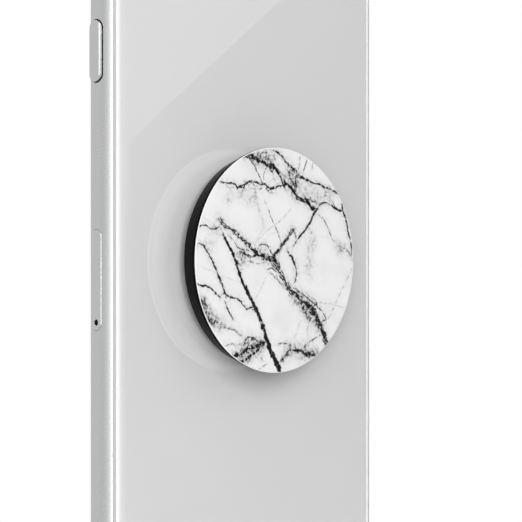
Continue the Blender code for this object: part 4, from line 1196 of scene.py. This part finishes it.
# Soft dark areas: centre, radius in mm, how dark
SMOKE = (
    (0.42, -0.41, 1.5, 0.8),
    (0.46, -0.47, 1.2, 0.7),
    (0.54, -0.57, 1.5, 0.6),
    (0.28, -0.33, 1.4, 0.5),
    (-0.91, -0.37, 1.1, 1.8),
    (-0.87, -0.44, 1.2, 1.8),
    (-0.79, -0.52, 1.3, 1.4),
    (-0.68, -0.56, 1.3, 0.8),
    (-0.47, -0.87, 1.2, 1.0),
    (-0.34, -0.81, 1.6, 0.9),
    (-0.20, -0.77, 1.5, 0.8),
    (0.20, -0.78, 1.4, 0.5),
    (0.36, -0.81, 1.7, 0.7),
    (0.50, -0.83, 1.2, 0.7),
    (-0.20, 0.91, 1.5, 0.9),
    (-0.04, 0.90, 1.5, 0.6),
    (0.20, 0.76, 1.3, 0.8),
    (0.26, 0.68, 1.4, 0.9),
    (0.42, 0.60, 1.6, 0.5),
    (0.54, 0.55, 1.5, 0.5),
    (0.68, 0.58, 1.3, 0.5),
    (-0.56, 0.55, 1.2, 0.5),
    (-0.40, 0.60, 1.5, 0.5),
    (-0.29, 0.53, 1.2, 0.4),
    (-0.40, 0.04, 1.6, 0.6),
    (-0.12, 0.06, 1.6, 0.5),
    (0.47, 0.14, 1.5, 0.4),
    (0.44, -0.04, 1.7, 0.35),
    (0.84, 0.09, 1.2, 0.6),
    (-0.72, 0.28, 1.3, 0.5),
    (-0.80, 0.14, 1.4, 0.35),
)
SAMPLE_STEP = 0.1


# Seen from the corner, the near half of the disc seems larger than the far half by about this share, and the
# look's middle lies a little to one side of the face's own
NEARNESS = 0.0477
LOOK_WIDTH = 1.011
LOOK_SHIFT = 0.056


def on_disc(right, up):
    """Where a point of that look lies on the flat face, in mm."""
    right = LOOK_WIDTH * right - LOOK_SHIFT
    depth = 1 - NEARNESS * right
    return Vector((right / depth, up / depth)) * GRIP_RADIUS


def vein_points(text):
    """Pairs of numbers in a row, as points in mm."""
    numbers = [float(word) for word in text.split()]
    return [on_disc(*pair) for pair in zip(numbers[::2], numbers[1::2])]


def smooth_path(knots):
    """A Catmull-Rom curve through the knots, as close-spaced samples."""
    knots = [2 * knots[0] - knots[1]] + knots + [2 * knots[-1] - knots[-2]]
    samples = []
    for before, here, after, beyond in zip(knots, knots[1:], knots[2:], knots[3:]):
        count = max(2, int((after - here).length / SAMPLE_STEP))
        for step in range(count):
            t = step / count
            bend = 2 * before - 5 * here + 4 * after - beyond
            twist = 3 * here - before - 3 * after + beyond
            samples.append(0.5 * (2 * here + (after - before) * t + bend * t**2 + twist * t**3))
    samples.append(knots[-2])
    return samples


def ragged_path(samples, wander, jagged, seed):
    """The smooth path pushed sideways: a slow wander, and sharp small kinks."""
    pushed = []
    for n, here in enumerate(samples):
        ahead = samples[min(n + 2, len(samples) - 1)] - samples[max(n - 2, 0)]
        side = Vector((-ahead.y, ahead.x)).normalized()
        along = n * SAMPLE_STEP
        slow = noise.noise(Vector((along * 0.55, seed * 7.3, 0.5))) * 2.4
        kinks = noise.noise(Vector((along * 1.3, seed * 3.1, 5)))
        kinks += 0.6 * noise.noise(Vector((along * 3.1, seed, 9)))
        pushed.append(here + side * (wander * slow + 1.5 * jagged * kinks))
    return np.array([(point.x, point.y) for point in pushed])


def noise_over(points, scale, seed, octaves=3):
    """Fractal noise at each (x, y), about -1 to 1."""
    return np.array(
        [noise.fractal(Vector((x * scale, y * scale, seed)), 1.0, 2.0, octaves) for x, y in points]
    )


def distances(points, line):
    """How far each point is from the nearest sample of the line, and that sample's number."""
    squared = (points[:, None, 0] - line[None, :, 0]) ** 2 + (points[:, None, 1] - line[None, :, 1]) ** 2
    nearest = squared.argmin(1)
    return np.sqrt(squared[np.arange(len(squared)), nearest]), nearest


def near_line(points, line, reach):
    low, high = line.min(0) - reach, line.max(0) + reach
    return np.flatnonzero(np.all((points > low) & (points < high), axis=1))


def soft_step(value, low, high):
    share = np.clip((value - low) / (high - low), 0, 1)
    return share * share * (3 - 2 * share)


def marble_ink(points):
    """How dark the print is at each (right, up) point in mm, from 0, white, to 1, black."""
    fine = noise_over(points, 1.5, 3.0, 4)
    grain = noise_over(points, 4.0, 11.0, 2)
    cloud = noise_over(points, 0.15, 21.0, 4)
    wisps = 1 - np.clip(np.abs(noise_over(points, 0.9, 31.0, 4)) * 5, 0, 1)
    clumps = soft_step(0.8 * fine + 0.5 * grain, -0.3, 0.8)
    flakes = 0.25 + 0.75 * soft_step(grain + 0.5 * fine, -0.1, 0.5)
    haze = 0.012 + 0.07 * np.clip(cloud + 0.05, 0, 1) + 0.012 * wisps * np.clip(cloud + 0.5, 0, 1)
    ink = np.zeros(len(points))
    for number, (text, strands, wander, thin, thick, dark, smoke, jagged) in enumerate(VEINS):
        samples = smooth_path(vein_points(text))
        spine = np.array([(point.x, point.y) for point in samples])
        near = near_line(points, spine, 2.4)
        away, _ = distances(points[near], spine)
        veil = np.exp(-away / 0.5) * np.clip(0.5 + 1.6 * fine[near], 0, 1.5) + 0.3 * np.exp(-away / 1.2)
        haze[near] = np.maximum(haze[near], 0.55 * smoke * dark * veil + 0.4 * haze[near])
        body = 1 - soft_step(away, 0.4 * wander, 0.7 * wander + 0.25)
        ink[near] = np.maximum(ink[near], 0.6 * dark * body * flakes[near] * (wander > 0.1))
        for strand in range(strands):
            line = ragged_path(samples, wander, jagged, number * 3 + strand)
            near = near_line(points, line, 0.9)
            away, nearest = distances(points[near], line)
            share = nearest / max(len(line) - 1, 1)
            places = [Vector((n * SAMPLE_STEP * 1.1, number * 5.0 + strand, 2)) for n in range(len(line))]
            swell = np.array([noise.noise(place) for place in places])
            wide = 1.25 * (thin + (thick - thin) * share) * (1 + 1.2 * swell[nearest])
            wide = wide + 0.09 * grain[near] + 0.05 * fine[near]
            ends = 0.35 + 0.65 * np.clip(np.minimum(share, 1 - share) * len(line) * SAMPLE_STEP / 0.8, 0, 1)
            edge = np.maximum(wide, 0.02) * ends
            core = 1 - soft_step(away, edge - 0.03, edge + 0.09)
            ink[near] = np.maximum(ink[near], dark * core * np.clip(1.0 + 0.9 * fine[near], 0.4, 1))
    for right, up, radius, dark in SMOKE:
        middle = on_disc(right, up)
        away = np.hypot(points[:, 0] - middle.x, points[:, 1] - middle.y)
        near = np.flatnonzero(away < 2.5 * radius)
        patch = np.exp(-((away[near] / radius) ** 2))
        haze[near] += dark * patch * (0.16 + 0.6 * clumps[near] + 0.12 * wisps[near])
    return np.clip(np.maximum(ink, haze) + 0.3 * ink * haze, 0, 1)


FACE_RINGS = 200
INSERT_BEVEL = 0.14
INSERT_WALL = GRIP_RADIUS - 0.03


def disc_faces(rings):
    """Triangles of a disc whose ring k has 6k points, after a centre point."""

    def first(ring):
        return 1 + 3 * ring * (ring - 1)

    faces = []
    for k in range(1, rings + 1):
        for sector in range(6):
            for n in range(k):
                a = first(k) + sector * k + n
                b = first(k) + (sector * k + n + 1) % (6 * k)
                c = first(k - 1) + (sector * (k - 1) + n) % (6 * (k - 1)) if k > 1 else 0
                faces.append((a, b, c))
                if n:
                    d = first(k - 1) + (sector * (k - 1) + n - 1) % (6 * (k - 1))
                    faces.append((a, c, d))
    return faces


def add_marble(materials):
    """The printed insert: a fine disc that holds the vein map, its rounded bevel, side and back."""
    face_radius = GRIP_RADIUS - INSERT_BEVEL
    back_y = INSERT_LOW.y
    rim = 6 * FACE_RINGS
    points = [(0.0, 0.0)]
    for k in range(1, FACE_RINGS + 1):
        points += circle(face_radius * k / FACE_RINGS, 6 * k)
    corners = [(x, FACE_Y, z) for x, z in points]
    profile = rounded_corner((face_radius, FACE_Y - INSERT_BEVEL), INSERT_BEVEL, 75, 0, 5)
    profile += [(INSERT_WALL, FACE_Y - INSERT_BEVEL - 0.02)]
    profile += [(INSERT_WALL, back_y + 0.05), (INSERT_WALL - 0.05, back_y)]
    faces = disc_faces(FACE_RINGS)
    start = len(corners) - rim
    for radius, y in profile:
        corners += [(x, y, z) for x, z in circle(radius, rim)]
        after = len(corners) - rim
        for n in range(rim):
            m = (n + 1) % rim
            faces.append((start + n, after + n, after + m, start + m))
        start = after
    faces.append(tuple(range(start, start + rim)))
    ink = np.zeros(len(corners))
    flat = np.array([(-x, z) for x, z in points])
    ink[: len(points)] = marble_ink(flat)
    ink[len(points) :] = 0.02
    mesh = bpy.data.meshes.new("marble_insert")
    mesh.from_pydata([(x * MM, y * MM, (z + GRIP_Z) * MM) for x, y, z in corners], [], faces)
    shaped = bmesh.new()
    shaped.from_mesh(mesh)
    bmesh.ops.recalc_face_normals(shaped, faces=shaped.faces)
    shaped.to_mesh(mesh)
    shaped.free()
    mesh.shade_smooth()
    mesh.set_sharp_from_angle(angle=0.7)
    mesh.attributes.new("vein", "FLOAT", "POINT").data.foreach_set("value", ink.astype(np.float32))
    insert = bpy.data.objects.new("marble_insert", mesh)
    mesh.materials.append(materials["marble_print"])
    bpy.context.scene.collection.objects.link(insert)
    attach(insert, "grip_top", "marble_print", "grip_insert")


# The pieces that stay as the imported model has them


def finish_cad_nodes(materials):
    slots = {part["node"]: part["material_slot"] for part in frame["record"]["subparts"]}
    for name, node in frame["nodes"].items():
        node.data.materials.clear()
        node.data.materials.append(materials[slots[name]])
        if not node.hide_render:
            soften(node, 0.06, 2, 50)


# Camera, light and floor


def look_from(thing, place, target):
    thing.location = place
    thing.rotation_euler = (Vector(target) - Vector(place)).to_track_quat("-Z", "Y").to_euler()


CAMERA_FOCAL = 114.8
CAMERA_PLACE = (0.2108, 0.2174, 0.0725)
VIEW_TURN = 44.85
VIEW_DIP = 0.024


def add_camera_view():
    camera = bpy.data.objects.new("camera", bpy.data.cameras.new("camera"))
    camera.data.sensor_width = 36.0
    camera.data.lens = CAMERA_FOCAL
    camera.data.clip_start = 0.01
    camera.location = CAMERA_PLACE
    camera.rotation_euler = (radians(90 - VIEW_DIP), 0, radians(180 - VIEW_TURN))
    bpy.context.scene.collection.objects.link(camera)
    bpy.context.scene.camera = camera


def add_area_light(name, azimuth, elevation, away, size, radiance):
    """A soft panel facing the middle of the phone; azimuth counts from +X towards +Y."""
    light = bpy.data.lights.new(name, "AREA")
    light.shape = "RECTANGLE"
    light.size, light.size_y = size
    light.energy = radiance * pi * size[0] * size[1]
    panel = bpy.data.objects.new(name, light)
    bpy.context.scene.collection.objects.link(panel)
    target = Vector((0, 0, MIDDLE_Z * MM))
    flat = away * cos(radians(elevation))
    place = target + Vector(
        (flat * cos(radians(azimuth)), flat * sin(radians(azimuth)), away * sin(radians(elevation)))
    )
    look_from(panel, place, target)
    panel.visible_camera = False
    panel.visible_glossy = False
    return panel


# What gloss mirrors at eye level: (azimuth from +X towards +Y, brightness)
STUDIO = (
    (-180, 0.57),
    (-20, 0.57),
    (-3, 0.53),
    (12, 0.585),
    (22, 0.66),
    (32, 0.78),
    (44, 0.95),
    (50, 1.05),
    (58, 5.4),
    (79, 5.4),
    (87, 2.6),
    (95, 0.9),
    (105, 0.3),
    (118, 0.06),
    (147, 0.06),
    (154, 0.9),
    (164, 3.8),
    (170, 3.8),
    (176, 0.8),
    (180, 0.57),
)
STUDIO_PEAK = 7.0
CEILING_LEVEL = 0.8
GROUND_LEVEL = 0.5


def add_world(seen, on_surfaces):
    """A white room: plain white to the camera, even where it lights, and panels where gloss mirrors it."""
    world = bpy.data.worlds.new("room")
    world.use_nodes = True
    bpy.context.scene.world = world
    nodes, links = world.node_tree.nodes, world.node_tree.links
    nodes.clear()

    def add(kind, **values):
        node = nodes.new(f"ShaderNode{kind}")
        for key, value in values.items():
            setattr(node, key, value)
        return node

    def background(level):
        node = add("Background")
        node.inputs["Color"].default_value = (1, 1, 1, 1)
        node.inputs["Strength"].default_value = level
        return node.outputs["Background"]

    def mixed(factor, first, second):
        node = add("MixShader")
        links.new(factor, node.inputs["Fac"])
        links.new(first, node.inputs[1])
        links.new(second, node.inputs[2])
        return node.outputs["Shader"]

    direction = add("SeparateXYZ")
    links.new(add("TexCoord").outputs["Generated"], direction.inputs["Vector"])
    azimuth = add("Math", operation="ARCTAN2")
    links.new(direction.outputs["Y"], azimuth.inputs[0])
    links.new(direction.outputs["X"], azimuth.inputs[1])
    turn = add("MapRange")
    turn.inputs["From Min"].default_value = -pi
    turn.inputs["From Max"].default_value = pi
    links.new(azimuth.outputs["Value"], turn.inputs["Value"])
    ramp = add("ValToRGB")
    elements = ramp.color_ramp.elements
    for number, (angle, level) in enumerate(STUDIO):
        element = elements[number] if number < 2 else elements.new((angle + 180) / 360)
        element.position = (angle + 180) / 360
        element.color = (*grey(level / STUDIO_PEAK), 1)
    links.new(turn.outputs["Result"], ramp.inputs["Fac"])
    panels = background(STUDIO_PEAK)
    links.new(ramp.outputs["Color"], panels.node.inputs["Color"])
    above, below = add("MapRange"), add("MapRange")
    for node, start, end in ((above, 0.55, 0.85), (below, -0.18, -0.28)):
        node.inputs["From Min"].default_value = start
        node.inputs["From Max"].default_value = end
        links.new(direction.outputs["Z"], node.inputs["Value"])
    under_ceiling = mixed(above.outputs["Result"], panels, background(CEILING_LEVEL))
    mirrored = mixed(below.outputs["Result"], under_ceiling, background(GROUND_LEVEL))
    path = add("LightPath")
    indirect = mixed(path.outputs["Is Glossy Ray"], background(on_surfaces), mirrored)
    direct = mixed(path.outputs["Is Camera Ray"], indirect, background(seen))
    links.new(direct, add("OutputWorld").inputs["Surface"])


FLOOR_RADIUS = 0.145


def add_floor():
    """A pale round of floor that fades out, so that the room beyond it stays plain white."""
    mesh = bmesh.new()
    bmesh.ops.create_circle(mesh, cap_ends=True, segments=96, radius=FLOOR_RADIUS)
    data = bpy.data.meshes.new("floor")
    mesh.to_mesh(data)
    mesh.free()
    floor = bpy.data.objects.new("floor", data)
    floor.location.z = -0.0003
    material = node_material("floor", grey(0.82), 0.9, specular=0.0)
    tree = Tree(material)
    reach = tree.add("VectorMath", operation="LENGTH")
    tree.join(tree.place((1, 1, 1)), reach.inputs[0])
    fade = tree.add("MapRange", interpolation_type="SMOOTHSTEP")
    fade.inputs["From Min"].default_value = FLOOR_RADIUS
    fade.inputs["From Max"].default_value = FLOOR_RADIUS * 0.45
    tree.join(reach.outputs["Value"], fade.inputs["Value"])
    tree.join(fade.outputs["Result"], tree.shader.inputs["Alpha"])
    data.materials.append(material)
    bpy.context.scene.collection.objects.link(floor)


def only_mirrored(thing):
    """Leaves the stage object to gloss alone."""
    thing.visible_camera = False
    thing.visible_diffuse = False
    thing.visible_shadow = False
    thing.visible_transmission = False


def add_glow(tree, axis, low, high, dim, bright):
    """A white glow that grows from dim to bright between two heights (metres) along an axis."""
    position = tree.add("SeparateXYZ")
    tree.join(tree.place((1, 1, 1)), position.inputs["Vector"])
    fade = tree.add("MapRange")
    fade.inputs["From Min"].default_value = low
    fade.inputs["From Max"].default_value = high
    fade.inputs["To Min"].default_value = dim
    fade.inputs["To Max"].default_value = bright
    tree.join(position.outputs[axis], fade.inputs["Value"])
    tree.shader.inputs["Emission Color"].default_value = (1, 1, 1, 1)
    tree.join(fade.outputs["Result"], tree.shader.inputs["Emission Strength"])
    return fade


def add_reflected_card(radiance):
    """A white card out past the back of the phone: the glass mirrors it as a lighter slanted area."""
    mesh = bpy.data.meshes.new("card")
    corners = [(-0.648, 0.168), (-1.08, 0.498), (-1.08, 0.8), (-0.2, 0.8), (-0.2, 0.0), (-0.644, 0.0)]
    mesh.from_pydata([(x, 0.8, z) for x, z in corners], [], [tuple(range(len(corners)))])
    card = bpy.data.objects.new("reflected_card", mesh)
    material = node_material("reflected_card", grey(0.0), 1.0, specular=0.0)
    tree = Tree(material)
    add_glow(tree, "Z", 0.02, 0.2, 0.0, radiance).interpolation_type = "SMOOTHSTEP"
    mesh.materials.append(material)
    bpy.context.scene.collection.objects.link(card)
    only_mirrored(card)


def add_reflected_skirt(radiance):
    """A sleeve round the closed grip's skirt, glowing outwards, which the glass mirrors as a pale outline."""
    profile = ((17.9, 0.15), (17.9, 1.95), (18.95, 2.1), (19.85, 5.37), (20.1, 5.6), (20.25, 5.9))
    rings = [[(x, BACK_Y + height, z + GRIP_Z) for x, z in circle(radius, 128)] for radius, height in profile]
    material = node_material("reflected_skirt", grey(0.0), 1.0, specular=0.0)
    tree = Tree(material)
    outside = tree.add("Math", operation="SUBTRACT")
    outside.inputs[0].default_value = 1.0
    tree.join(tree.add("NewGeometry").outputs["Backfacing"], outside.inputs[1])
    tree.join(outside.outputs["Value"], tree.shader.inputs["Alpha"])
    add_glow(tree, "Y", BACK_Y * MM, FACE_Y * MM, 0.3 * radiance, radiance)
    sleeve = new_piece("reflected_skirt", skinned(rings, capped=False), material)
    only_mirrored(sleeve)


def add_stage():
    scene = bpy.context.scene
    scene.view_settings.view_transform = "Standard"
    add_world(seen=1.0, on_surfaces=0.22)
    add_floor()
    add_area_light("back_softbox", 52, 14, 0.65, (0.52, 0.52), 4.5)
    add_area_light("top_softbox", 118, 35, 0.42, (0.3, 0.3), 1.1)
    add_area_light("screen_softbox", -75, 30, 0.8, (0.6, 0.6), 3.0)
    add_reflected_card(0.8)
    add_reflected_skirt(1.25)
    add_camera_view()


def build():
    materials = make_materials()
    add_band(materials)
    add_gasket("rear_seal", 1, "rear_gasket", materials)
    add_gasket("front_seal", -1, "front_gasket", materials)
    add_rear_glass(materials)
    add_front_glass(materials)
    add_key("side_key_cap", "side_key", "side_button", SIDE_BUTTON["size"], 1, materials)
    add_key("volume_up_cap", "volume_up_key", "volume_up_button", VOLUME_UP["size"], -1, materials)
    add_key("volume_down_cap", "volume_down_key", "volume_down_button", VOLUME_DOWN["size"], -1, materials)
    add_mute_lever(materials)
    add_tray(materials)
    add_screen_side(materials)
    add_camera(materials)
    add_port(materials)
    add_grip(materials)
    finish_cad_nodes(materials)
    add_stage()


build()
